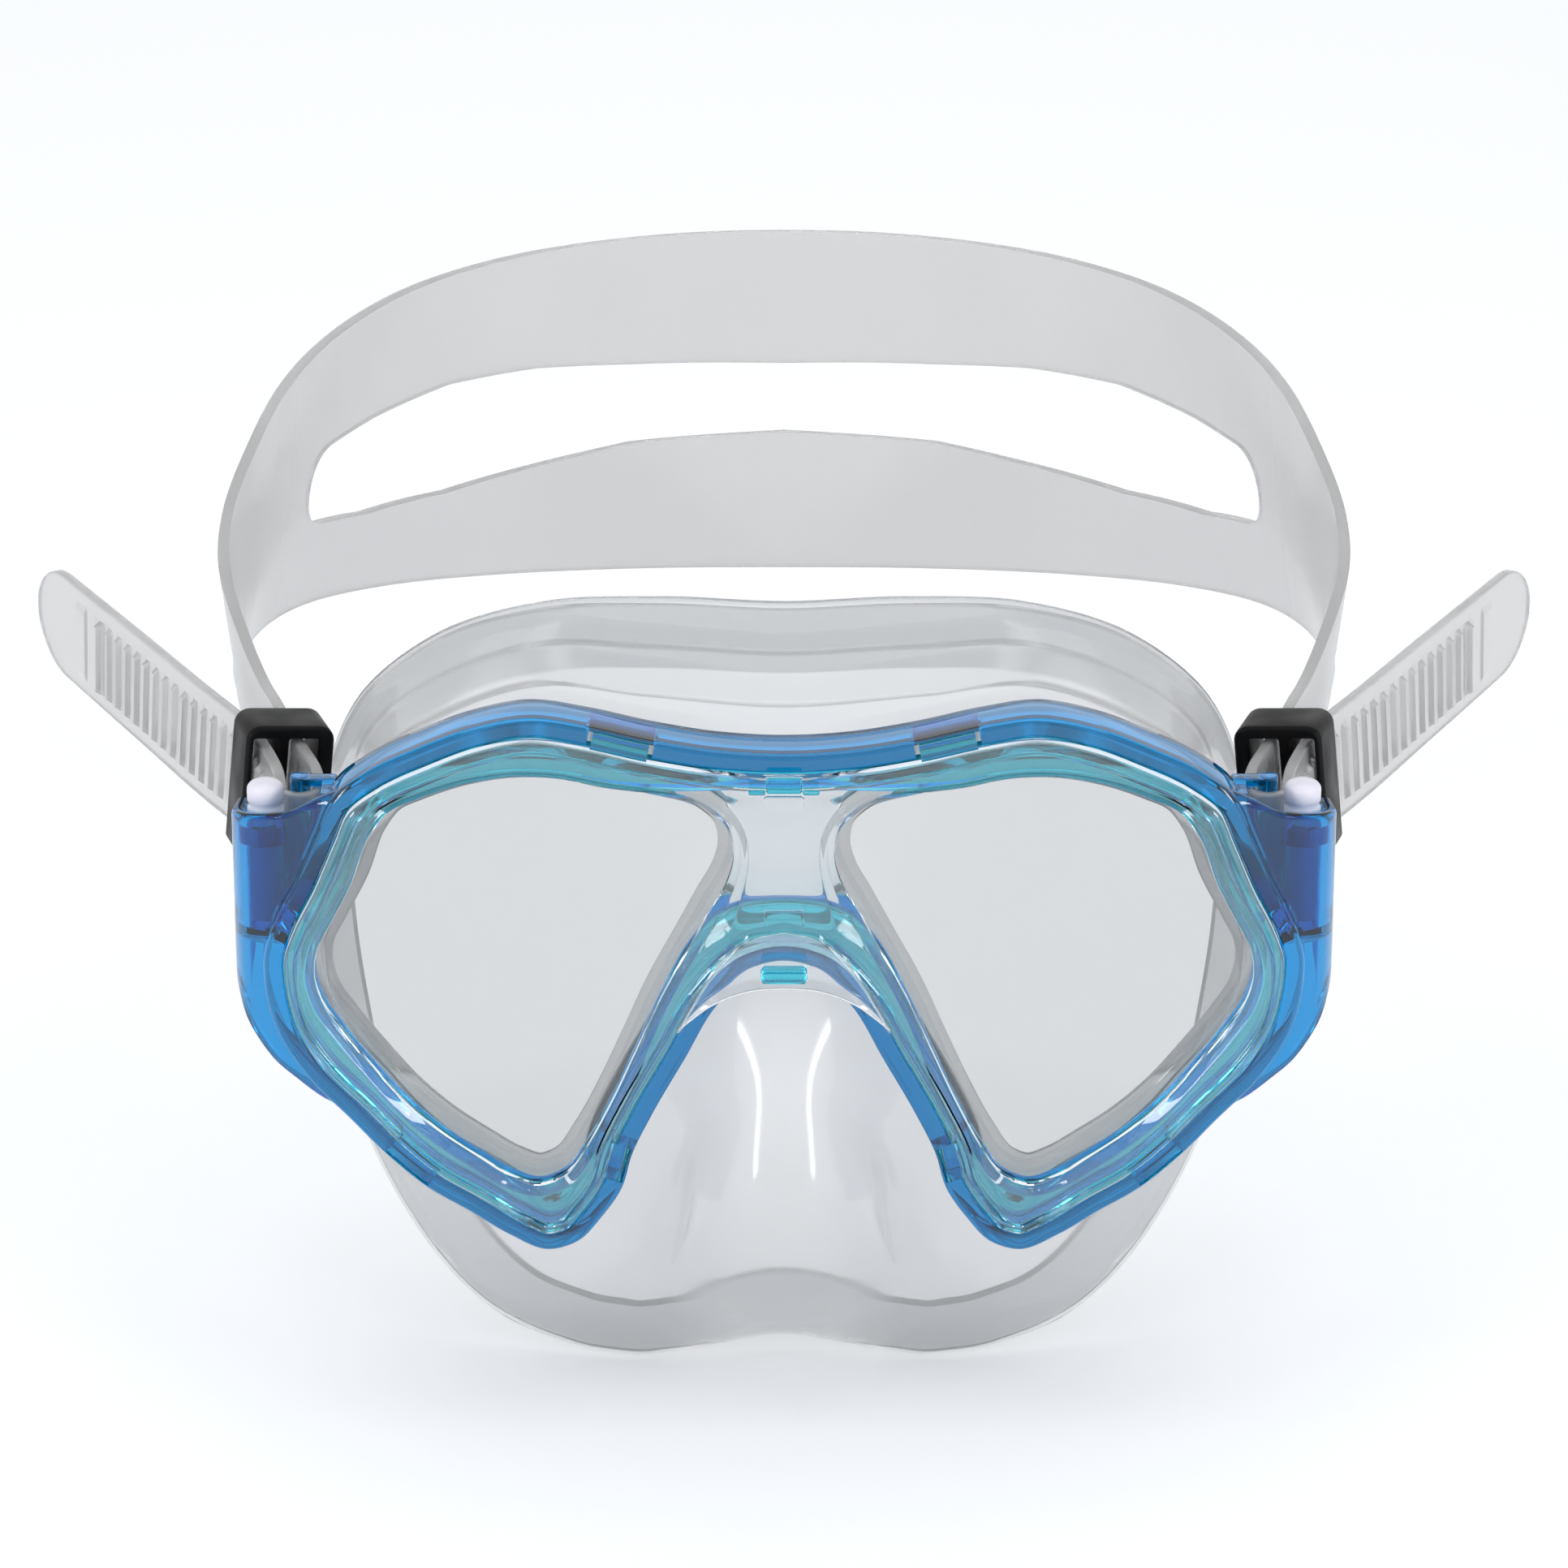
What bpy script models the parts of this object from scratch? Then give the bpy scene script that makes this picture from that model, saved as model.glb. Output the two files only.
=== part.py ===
"""A two-lens diving mask with a split silicone strap, built as it comes apart on a bench.

World frame: metres, +Z up, the mask faces -Y, and the origin is the middle of the face seal.
Left and right are the wearer's, so the wearer's left is at +X. Design numbers below are millimetres.
"""

import bpy
import bmesh
import numpy as np
from math import pi, radians, sin, cos

MM = 0.001
GAP = 0.3

# Depths of the stacked pieces, front to back.
FRAME_FRONT, FRAME_BACK = -50.0, -40.2
BEZEL_FRONT, BEZEL_BACK = -51.4, -49.0
LIP_FRONT, LIP_BACK = -53.0, -50.3
RETAINER_FRONT, RETAINER_BACK = -48.7, -46.5
LENS_FRONT, LENS_BACK = -46.2, -43.2
GASKET_FRONT, GASKET_BACK = -42.9, -41.7
LEDGE_FRONT = -41.4

# Widths of the rings, measured inwards from the frame's outline. The skirt's neck is narrower at the temples,
# over a stretch that is a fraction of the whole outline.
FRAME_RIM = 2.8
LEDGE_REACH = 5.0
NECK_INSET = 6.2
TEMPLE_INSET = 2.0
TEMPLE_SPREAD = 0.055
LENS_OVERLAP = 2.0
GASKET_REACH = 2.5

# Half outlines in the plane of the lenses: x outwards, z up, from the top centre round to the nose.
FRAME_HALF = [
    (0, 35.4), (10, 36.0), (20, 37.7), (29, 39.8), (37.5, 41.0), (46, 39.4), (54, 36.3), (61.5, 32.6),
    (66.5, 28.6), (69.3, 22.5), (72.3, 15.5), (75.4, 9.3), (77.2, 4.0), (77.2, -1.5), (75.6, -8.5),
    (71.3, -15.8), (65, -22.7), (59.7, -28.5), (53.5, -34.0), (47.2, -37.9), (41.5, -41.6), (35.5, -44.1),
    (31.2, -42.8), (27.5, -38.8), (24.4, -34.0), (22.8, -28.5), (20, -22.5), (14.8, -13.0), (10, -4.4),
    (5.2, 0.6), (0, 2.0),
]
WINDOW = [
    (26.5, 30.4), (33.3, 31.8), (40.1, 32.0), (47, 30.9), (53.9, 28.6), (58.4, 26.4), (61, 23.0), (64, 15.2),
    (67, 9.3), (69.2, 4.9), (69.7, 1.2), (68.7, -3.2), (65.4, -8.6), (61.1, -14.3), (56.7, -19.6),
    (51.4, -24.6), (45.2, -29.0), (40.7, -31.8), (36.8, -33.1), (33.2, -31.7), (29.6, -26.8), (26.2, -20.4),
    (22.4, -12.0), (18.4, -2.9), (14.2, 5.0), (10.9, 11.2), (8.5, 15.6), (7.5, 19.8), (8.3, 23.8),
    (11.4, 26.9), (18.5, 29.2),
]
RETAINER_TOP = [(0, 30.0), (9, 29.7), (18, 29.7)]
RETAINER_NOSE = [(18.2, -2.5), (14.0, 5.4), (9.2, 10.6), (4.6, 12.5), (0, 13.0)]
RETAINER_HALF = RETAINER_TOP + WINDOW[:23] + RETAINER_NOSE
# The visor lip over the nose: its upper edge out to the pointed foot, and its lower edge back.
LIP_UPPER = [(0, 8.6), (5.2, 7.4), (9.6, 3.4), (13.4, -2.6), (16.0, -7.4)]
LIP_LOWER = [(16.0, -7.4), (10.2, -2.9), (5.2, -1.0), (0, -0.5)]

# Snap tabs of the retainer in the frame's rim: x, z and length along the rim.
TABS = [(23.6, 38.5, 9.0), (57.2, -30.7, 8.0), (23.4, -30.4, 6.0)]
TAB_DEPTH = 1.4
TAB_REACH = 2.0

# Skirt: for each outline point named by its index, the rim point (x, y, z) and how late the wall flares.
SKIRT_STATIONS = [0, 2, 4, 6, 8, 10, 13, 15, 17, 19, 21, 23, 25, 27, 28, 30]
SKIRT_RIM = [
    (0, -10, 45), (19, -9.5, 45.6), (36.5, -7, 44), (53, -2, 37.3), (64.5, 3, 26.5), (70.3, 6, 13.5),
    (72, 6.5, -2), (70.8, 3.5, -20), (65.5, -5, -42), (54.5, -14, -59.5), (43.5, -19, -68.5),
    (33.5, -21.5, -72), (25.5, -23, -73), (17, -23, -72.6), (8.5, -22, -71.2), (0, -21, -69.8),
]
SKIRT_FLARE = [1.1, 1.1, 1.1, 1.4, 2.2, 2.6, 2.6, 2.0, 1.3, 1.0, 1.0]
WALL_STEPS = [0.14, 0.32, 0.5, 0.67, 0.84]
# The nose pocket's own columns, from the leg of the frame to the centre line, each from the neck down.
POCKET = [
    [(29.5, -37.0, -38), (26, -33.5, -44), (24.5, -32, -50), (26, -30, -56.5), (29.5, -26.5, -64)],
    [(25, -37.2, -28), (17.6, -36.4, -34), (16.8, -37, -43), (18.5, -34.5, -52), (22, -29, -62)],
    [(16.5, -37.4, -13), (10.4, -41, -25), (11.8, -43.6, -38), (14, -40.5, -50), (16, -31, -61.5)],
    [(11, -37.6, -4), (5.6, -43.4, -20), (6.6, -47.8, -36), (8, -46.6, -50), (8.6, -35, -62)],
    [(0, -37.6, 1.5), (0, -44.2, -18), (0, -49.2, -36), (0, -48.6, -50), (0, -36, -62.5)],
]
SKIRT_WALL = 1.6
NECK_LENGTH = 2.4
SKIRT_COLUMNS = 84
LIP_WIDTH = 10.0
LIP_FORWARD = 3.0

# Buckle wing on the wearer's left: plan outline of its outer face, and its outline from the front.
WING_PLAN = [(64, -49.6), (71, -48.0), (77, -45.6), (80.6, -43.4), (82.3, -39.8), (82.3, -30.0)]
WING_INSIDE = [(64, -45.6), (70.4, -46.0), (76.2, -43.7), (79.3, -41.7), (80.3, -39.3), (80.3, -29.0)]
WING_FACE = [
    (60, 31.5), (65.6, 31.2), (68.2, 28.2), (71.7, 25.2), (75, 23.4), (78, 22.4), (81, 22.2), (83, 21.2),
    (83, 4), (82.2, -3), (80.2, -9.8), (77.2, -14.4), (72, -18.4), (66, -22.2), (60, -20),
]
FLOOR_TOP, FLOOR_UNDER = 5.5, 3.5
POST_OUTER, POST_FRONT, POST_REAR = 74.0, -35.0, -32.0
POST_PLAN = [(71, -32), (71, -33.8), (71.6, -34.7), (72.5, -35), (73.4, -34.7), (74, -33.8), (74, -32)]
BAR_INNER = 66.9
BAR_UNDER, BAR_TOP = 24.9, 26.4
ROLLER_X, ROLLER_Y, ROLLER_RADIUS = 77.2, -38.9, 2.75
ROLLER_BOTTOM, ROLLER_TOP = 6.2, 27.8
SEAT_CLEARANCE = 0.1
SEAT_MOUTH = 0.8
SEAT_RADIUS, SEAT_UNDER, SEAT_TOP = 4.2, 18.6, 21.4

# Slider: a two-slot ring, seen along its own axis.
SLIDER_SIZE = (13.7, 22.6)
SLIDER_DEPTH = 9.7
SLIDER_CENTRE = (77.1, -15.6, 18.0)
SLIDER_YAW, SLIDER_LEAN = 17.0, 6.0
SLOTS = [(-3.95, 3.5), (2.1, 4.6)]
SLOT_HEIGHT, SLOT_CORNER = 18.6, 0.35

# Strap: its section, its path in plan with the mid height, half height and lean of each point.
STRAP_THICKNESS = 1.8
RIB_HEIGHT, RIB_PITCH, RIB_WIDTH = 0.9, 2.75, 1.3
HALF_HEIGHT = 8.5
STRAP_END = [
    (119.0, 38.5, 29.7, 0.0), (101.6, 14.8, 24.2, -0.06), (85.6, -6.4, 19.0, -0.1), (82.5, -10.4, 18.2, -0.1),
    (80.9, -15.6, 18.0, -0.1), (79.4, -20.3, 17.9, -0.1), (76.7, -27.6, 17.0, -0.05), (75.3, -33.0, 16.1, 0.0),
    (74.8, -35.1, 16.1, 0.0), (72.5, -36.4, 16.1, 0.0), (70.2, -35.1, 16.1, 0.0), (69.7, -33.0, 16.1, 0.0),
    (70.9, -27.6, 17.0, 0.05), (73.8, -20.3, 17.9, 0.1), (75.3, -15.6, 18.0, 0.1), (76.9, -10.6, 18.2, 0.1),
    (78.8, -4.0, 19.2, 0.07), (81.0, 4.0, 19.8, 0.03),
]
BEND_STARTS, BEND_ENDS = 6, 12
STRAP_BAND = [
    (81.0, 4.0, 19.8, 8.5, -0.03), (84.5, 17.0, 21.3, 10.2, 0.03), (87.3, 32.0, 23.4, 12.9, 0.12),
    (89.2, 50.0, 25.6, 15.4, 0.05), (89.0, 66.0, 28.2, 18.5, -0.08), (86.6, 82.0, 31.0, 21.9, -0.16),
    (79.6, 101.5, 32.6, 24.6, -0.18), (67.0, 118.5, 33.1, 27.2, -0.14), (50.5, 130.0, 33.3, 29.0, -0.08),
    (26.0, 137.8, 33.6, 30.2, -0.02), (0.0, 140.0, 33.7, 30.6, 0.0),
]
# The split in the rear band: for each distance from the centre line, its lower and upper edge.
SPLIT = [
    (81.5, 26.5, 33.5), (79.6, 22.6, 36.4), (71.5, 20.8, 38.8), (58.9, 21.1, 41.4), (43.6, 23.7, 41.9),
    (27, 26.6, 41.2), (0, 28.0, 40.7),
]
FLEX_Y, FLEX_Z = 4.0, 19.8
FLEX_CLEARANCE = 0.6
FLEX_DISC_X, FLEX_DISC_DEPTH = 79.5, 9.0


# ---------------------------------------------------------------- curves


def spline(knots, values, at):
    """A cubic through the values at uneven knots, each slope taken from the two neighbours."""
    knots, values, at = np.asarray(knots, float), np.asarray(values, float), np.asarray(at, float)
    steps = np.diff(knots)[:, None]
    rises = np.diff(values, axis=0) / steps
    slopes = np.empty_like(values)
    slopes[0], slopes[-1] = rises[0], rises[-1]
    slopes[1:-1] = (rises[:-1] * steps[1:] + rises[1:] * steps[:-1]) / (steps[1:] + steps[:-1])
    i = np.clip(np.searchsorted(knots, at, side="right") - 1, 0, len(knots) - 2)
    h = steps[i]
    u = ((at - knots[i]) / h[:, 0])[:, None]
    start = values[i] * (2 * u**3 - 3 * u**2 + 1) + slopes[i] * h * (u**3 - 2 * u**2 + u)
    return start + values[i + 1] * (3 * u**2 - 2 * u**3) + slopes[i + 1] * h * (u**3 - u**2)


def lengths(points):
    """Distance along a polyline at each of its points."""
    return np.concatenate([[0], np.cumsum(np.linalg.norm(np.diff(points, axis=0), axis=1))])


def closed_outline(points, count):
    """Equally spaced points on a smooth closed curve through the given ones."""
    points = np.asarray(points, float)
    around = np.vstack([points[-3:], points, points[:4]])
    knots = lengths(around)
    first, last = knots[3], knots[3 + len(points)]
    fine = spline(knots, around, np.linspace(first, last, count * 12 + 1))
    run = lengths(fine)
    even = np.linspace(0, run[-1], count, endpoint=False)
    return np.column_stack([np.interp(even, run, fine[:, k]) for k in range(points.shape[1])])


def open_curve(points, count):
    """Equally spaced points on a smooth open curve through the given ones."""
    points = np.asarray(points, float)
    knots = lengths(points)
    return spline(knots, points, np.linspace(0, knots[-1], count))


def whole(half):
    """The full outline from its half at x >= 0, which starts and ends on the centre line."""
    return list(half) + [(-p[0], *p[1:]) for p in half[-2:0:-1]]


def inset(outline, distance):
    """The outline moved inwards by a distance, or by one distance for each point."""
    along = np.roll(outline, -1, axis=0) - np.roll(outline, 1, axis=0)
    inwards = np.column_stack([along[:, 1], -along[:, 0]]) / np.linalg.norm(along, axis=1)[:, None]
    x, z = outline.T
    area = np.sum(x * np.roll(z, -1) - z * np.roll(x, -1))
    return outline + inwards * (-np.sign(area) * np.broadcast_to(distance, len(outline)))[:, None]


# ---------------------------------------------------------------- objects


def clear_scene():
    for obj in list(bpy.data.objects):
        bpy.data.objects.remove(obj, do_unlink=True)


def new_collection(name):
    made = bpy.data.collections.new(name)
    bpy.context.scene.collection.children.link(made)
    return made


def principled(name, colour, roughness, alpha=1.0):
    made = bpy.data.materials.new(name)
    made.use_nodes = True
    shader = made.node_tree.nodes["Principled BSDF"]
    shader.inputs["Base Color"].default_value = (*colour, 1)
    shader.inputs["Roughness"].default_value = roughness
    shader.inputs["Metallic"].default_value = 0.0
    shader.inputs["Alpha"].default_value = alpha
    return made


def add(name, mesh, collection, material=None):
    obj = bpy.data.objects.new(name, mesh)
    collection.objects.link(obj)
    if material:
        mesh.materials.append(material)
    return obj


def as_helper(obj):
    obj.hide_render = True
    obj.display_type = "WIRE"
    return obj


def boolean(obj, other, operation):
    modifier = obj.modifiers.new(f"{operation.lower()} {other.name}", "BOOLEAN")
    modifier.operation = operation
    modifier.object = other
    return modifier


def flat_outline(name, outlines, low, high, collection, material=None, upright=True):
    """A flat piece from closed outlines, the first the outer edge and the others holes.
    Upright, an outline is (x, z) and low to high run in y. Lying, it is (x, y) and they run in z."""
    curve = bpy.data.curves.new(name, "CURVE")
    curve.dimensions, curve.fill_mode = "2D", "BOTH"
    curve.extrude = (high - low) / 2 * MM
    for outline in outlines:
        line = curve.splines.new("POLY")
        line.points.add(len(outline) - 1)
        for point, (a, b) in zip(line.points, outline):
            point.co = (a * MM, b * MM, 0, 1)
        line.use_cyclic_u = True
    source = bpy.data.objects.new(name, curve)
    bpy.context.scene.collection.objects.link(source)
    source.location = (0, (low + high) / 2 * MM, 0) if upright else (0, 0, (low + high) / 2 * MM)
    source.rotation_euler = (pi / 2 if upright else 0, 0, 0)
    bpy.context.view_layer.update()
    mesh = bpy.data.meshes.new_from_object(source.evaluated_get(bpy.context.evaluated_depsgraph_get()))
    mesh.name = name
    work = bmesh.new()
    work.from_mesh(mesh)
    bmesh.ops.remove_doubles(work, verts=work.verts, dist=1e-6)
    bmesh.ops.recalc_face_normals(work, faces=work.faces)
    work.to_mesh(mesh)
    work.free()
    placed = source.matrix_world.copy()
    bpy.data.objects.remove(source, do_unlink=True)
    obj = add(name, mesh, collection, material)
    obj.matrix_world = placed
    return obj


def box(name, low, high, collection):
    """A block between two opposite corners."""
    mesh = bpy.data.meshes.new(name)
    work = bmesh.new()
    bmesh.ops.create_cube(work, size=1)
    size, middle = np.subtract(high, low) * MM, np.add(high, low) / 2 * MM
    bmesh.ops.scale(work, vec=size, verts=work.verts)
    bmesh.ops.translate(work, vec=middle, verts=work.verts)
    work.to_mesh(mesh)
    work.free()
    return as_helper(add(name, mesh, collection))


def grid_mesh(name, points, wrap, keep=None):
    """An open surface through a grid of points in millimetres, rows by columns."""
    rows, columns = points.shape[:2]
    index = np.arange(rows * columns).reshape(rows, columns)
    across = np.roll(index, -1, axis=1) if wrap else index[:, 1:]
    near = index if wrap else index[:, :-1]
    quads = np.stack([near[:-1], across[:-1], across[1:], near[1:]], axis=-1)
    quads = quads.reshape(-1, 4) if keep is None else quads[keep]
    mesh = bpy.data.meshes.new(name)
    mesh.from_pydata((points.reshape(-1, 3) * MM).tolist(), [], quads.tolist())
    work = bmesh.new()
    work.from_mesh(mesh)
    bmesh.ops.delete(work, geom=[v for v in work.verts if not v.link_faces], context="VERTS")
    bmesh.ops.recalc_face_normals(work, faces=work.faces)
    work.to_mesh(mesh)
    work.free()
    return mesh


def thicken(obj, thickness):
    modifier = obj.modifiers.new("wall", "SOLIDIFY")
    modifier.thickness = thickness * MM
    modifier.offset = 0
    return modifier


def mirrored(obj):
    """Keeps the half at +X and mirrors it."""
    modifier = obj.modifiers.new("both sides", "MIRROR")
    modifier.use_bisect_axis[0] = True
    modifier.bisect_threshold = 1e-6
    modifier.merge_threshold = 1e-5


def other_side(obj, name, collection):
    """A mirror image of a finished piece, as an object of its own."""
    bpy.context.view_layer.update()
    mesh = bpy.data.meshes.new_from_object(obj.evaluated_get(bpy.context.evaluated_depsgraph_get()))
    mesh.name = name
    mesh.transform(obj.matrix_world)
    work = bmesh.new()
    work.from_mesh(mesh)
    bmesh.ops.scale(work, vec=(-1, 1, 1), verts=work.verts)
    bmesh.ops.reverse_faces(work, faces=work.faces)
    work.to_mesh(mesh)
    work.free()
    made = bpy.data.objects.new(name, mesh)
    collection.objects.link(made)
    return made


# ---------------------------------------------------------------- rigid pieces


def tab_box(name, x, z, length, grow, outline, collection):
    """A block across the rim at (x, z), turned along the outline there, and grown all round for its slot."""
    nearest = np.argmin(np.hypot(outline[:, 0] - x, outline[:, 1] - z))
    along = outline[(nearest + 1) % len(outline)] - outline[nearest - 1]
    turn = np.arctan2(along[1], along[0])
    mesh = bpy.data.meshes.new(name)
    work = bmesh.new()
    bmesh.ops.create_cube(work, size=MM)
    width = 2 * TAB_REACH + 2 * grow
    bmesh.ops.scale(work, vec=(length + 2 * grow, TAB_DEPTH + 2 * grow, width), verts=work.verts)
    work.to_mesh(mesh)
    work.free()
    made = as_helper(add(name, mesh, collection))
    middle = inset(outline, FRAME_RIM + 0.4)[nearest]
    made.location = (middle[0] * MM, (RETAINER_FRONT + RETAINER_BACK) / 2 * MM, middle[1] * MM)
    made.rotation_euler = (0, -turn, 0)
    return made


def wing(helpers):
    """The left buckle wing: a wall that sweeps back from the rim, a floor, the post and the roller's seat."""
    inside = WING_INSIDE + [(69, -29), (69, -40.4), (64, -40.4)]
    plan = WING_PLAN + [(71, -30), (71, -40.3), (64, -40.3)]
    body = as_helper(flat_outline("wing body", [plan], -26, 34, helpers, upright=False))
    front = as_helper(flat_outline("wing outline", [WING_FACE], -56, -26, helpers))
    above = as_helper(flat_outline("strap pocket", [inside], FLOOR_TOP, 40, helpers, upright=False))
    below = as_helper(flat_outline("lower hollow", [inside], -40, FLOOR_UNDER, helpers, upright=False))
    boolean(body, front, "INTERSECT")
    boolean(body, above, "DIFFERENCE")
    boolean(body, below, "DIFFERENCE")
    post_foot = FLOOR_UNDER + 0.5
    post = as_helper(flat_outline("strap post", [POST_PLAN], post_foot, BAR_TOP, helpers, upright=False))
    # Each block stops a little short of the last one, so that no two faces lie in one plane.
    bar_high = (POST_OUTER - 0.1, POST_REAR - 0.1, BAR_TOP - 0.1)
    bar = box("top bar", (BAR_INNER, POST_FRONT + 0.1, BAR_UNDER), bar_high, helpers)
    stay_low = (BAR_INNER - 0.1, FRAME_BACK - 1, BAR_UNDER + 0.1)
    stay = box("bar stay", stay_low, (BAR_INNER + 2.1, POST_REAR - 0.4, BAR_TOP - 0.2), helpers)
    seat = cylinder("roller seat", SEAT_RADIUS, SEAT_UNDER, SEAT_TOP, helpers)
    bore = cylinder("seat bore", ROLLER_RADIUS + SEAT_CLEARANCE, SEAT_UNDER - 1, SEAT_TOP + 1, helpers)
    mouth = box("seat mouth", (-8, SEAT_MOUTH, SEAT_UNDER - 1), (8, 9, SEAT_TOP + 1), helpers)
    mouth.location = (ROLLER_X * MM, ROLLER_Y * MM, 0)
    mouth.rotation_euler = (0, 0, pi / 4)
    boolean(seat, bore, "DIFFERENCE")
    boolean(seat, mouth, "DIFFERENCE")
    for piece in (post, bar, stay, seat):
        boolean(body, piece, "UNION")
    return body


def cylinder(name, radius, low, high, collection):
    """An upright round bar on the roller's axis, from low to high."""
    mesh = bpy.data.meshes.new(name)
    work = bmesh.new()
    bmesh.ops.create_cone(
        work, cap_ends=True, segments=28, radius1=radius * MM, radius2=radius * MM, depth=(high - low) * MM
    )
    bmesh.ops.translate(work, vec=(ROLLER_X * MM, ROLLER_Y * MM, (low + high) / 2 * MM), verts=work.verts)
    work.to_mesh(mesh)
    work.free()
    return as_helper(add(name, mesh, collection))


def front_frame(outline, parts, helpers, material):
    frame = flat_outline("front_frame", [outline], FRAME_FRONT, FRAME_BACK, parts, material)
    room = cylinder("room for the roller", ROLLER_RADIUS + GAP, ROLLER_BOTTOM - GAP, ROLLER_TOP, helpers)
    boolean(frame, room, "DIFFERENCE")
    boolean(frame, wing(helpers), "UNION")
    opening = as_helper(flat_outline("lens seat", [inset(outline, FRAME_RIM)], -56, LEDGE_FRONT, helpers))
    through = as_helper(flat_outline("skirt opening", [inset(outline, LEDGE_REACH)], -44, -39, helpers))
    boolean(frame, opening, "DIFFERENCE")
    boolean(frame, through, "DIFFERENCE")
    for number, (x, z, length) in enumerate(TABS):
        slot = tab_box(f"tab slot {number}", x, z, length, GAP, outline, helpers)
        boolean(frame, slot, "DIFFERENCE")
    mirrored(frame)
    return frame


def lens_retainer(outline, parts, helpers, material):
    inner = closed_outline(whole(RETAINER_HALF), 96)
    outlines = [inset(outline, FRAME_RIM + GAP), inner]
    ring = flat_outline("lens_retainer", outlines, RETAINER_FRONT, RETAINER_BACK, parts, material)
    for number, (x, z, length) in enumerate(TABS):
        boolean(ring, tab_box(f"tab {number}", x, z, length, 0, outline, helpers), "UNION")
    mirrored(ring)
    return ring


def clear_bezel(outline, window, parts, helpers, material):
    """The clear cover ring with the bridge between the windows, and the visor lip over the nose."""
    outlines = [inset(outline, FRAME_RIM + GAP), window, window * (-1, 1)]
    bezel = flat_outline("clear_bezel", outlines, BEZEL_FRONT, BEZEL_BACK, parts, material)
    lip_half = np.vstack([open_curve(LIP_UPPER, 12), open_curve(LIP_LOWER, 12)[1:]])
    lip_outline = whole([tuple(p) for p in lip_half])
    lip = as_helper(flat_outline("visor lip", [lip_outline], LIP_FRONT, LIP_BACK, helpers))
    boolean(bezel, lip, "UNION")
    return bezel


def lens(name, window, parts, material):
    return flat_outline(name, [inset(window, -LENS_OVERLAP)], LENS_FRONT, LENS_BACK, parts, material)


def roller(parts, material):
    """The strap roller: a round pin with a domed head, turned about its upright axis."""
    dome, chamfer = 1.5, 0.5
    rise = np.linspace(pi / 2, 0, 5)
    top = [(ROLLER_RADIUS * cos(a), ROLLER_TOP - dome + dome * sin(a)) for a in rise]
    edge = [(ROLLER_RADIUS, ROLLER_BOTTOM + chamfer), (ROLLER_RADIUS - chamfer, ROLLER_BOTTOM)]
    profile = [(0.0, ROLLER_TOP)] + top[1:] + edge + [(0.0, ROLLER_BOTTOM)]
    mesh = bpy.data.meshes.new("strap_roller_left")
    edges = [(i, i + 1) for i in range(len(profile) - 1)]
    mesh.from_pydata([(r * MM, 0, z * MM) for r, z in profile], edges, [])
    made = add("strap_roller_left", mesh, parts, material)
    made.location = (ROLLER_X * MM, ROLLER_Y * MM, 0)
    turn = made.modifiers.new("turned", "SCREW")
    turn.axis, turn.angle = "Z", 2 * pi
    turn.steps, turn.render_steps = 28, 28
    turn.use_merge_vertices, turn.merge_threshold = True, 1e-6
    return made


def slider(parts, helpers, material):
    """The two-slot keeper, made on its own axis and then placed on the strap."""
    wide, tall = SLIDER_SIZE
    half_w, half_h, corner, chamfer = wide / 2, tall / 2, 2.4, 2.0
    arc = [radians(a) for a in (90, 60, 30, 0)]
    right = [(half_w - corner + corner * cos(a), half_h - corner + corner * sin(a)) for a in arc]
    low = [(half_w, -half_h + chamfer), (half_w - chamfer, -half_h)]
    outline = right + low + [(-x, z) for x, z in (right + low)[::-1]]
    slots = []
    for middle, width in SLOTS:
        a, b, r = width / 2, SLOT_HEIGHT / 2, SLOT_CORNER
        corner_pairs = [(a - r, b), (a, b - r), (a, r - b), (a - r, -b)]
        corners = corner_pairs + [(-x, z) for x, z in corner_pairs[::-1]]
        slots.append([(-middle + x, z) for x, z in corners])
    half_d = SLIDER_DEPTH / 2
    made = flat_outline("strap_slider_left", [outline] + slots, -half_d, half_d, parts, material)
    made.location = np.array(SLIDER_CENTRE) * MM
    made.rotation_euler = (pi / 2, radians(-SLIDER_LEAN), radians(-SLIDER_YAW))
    return made


# ---------------------------------------------------------------- soft pieces


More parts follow.
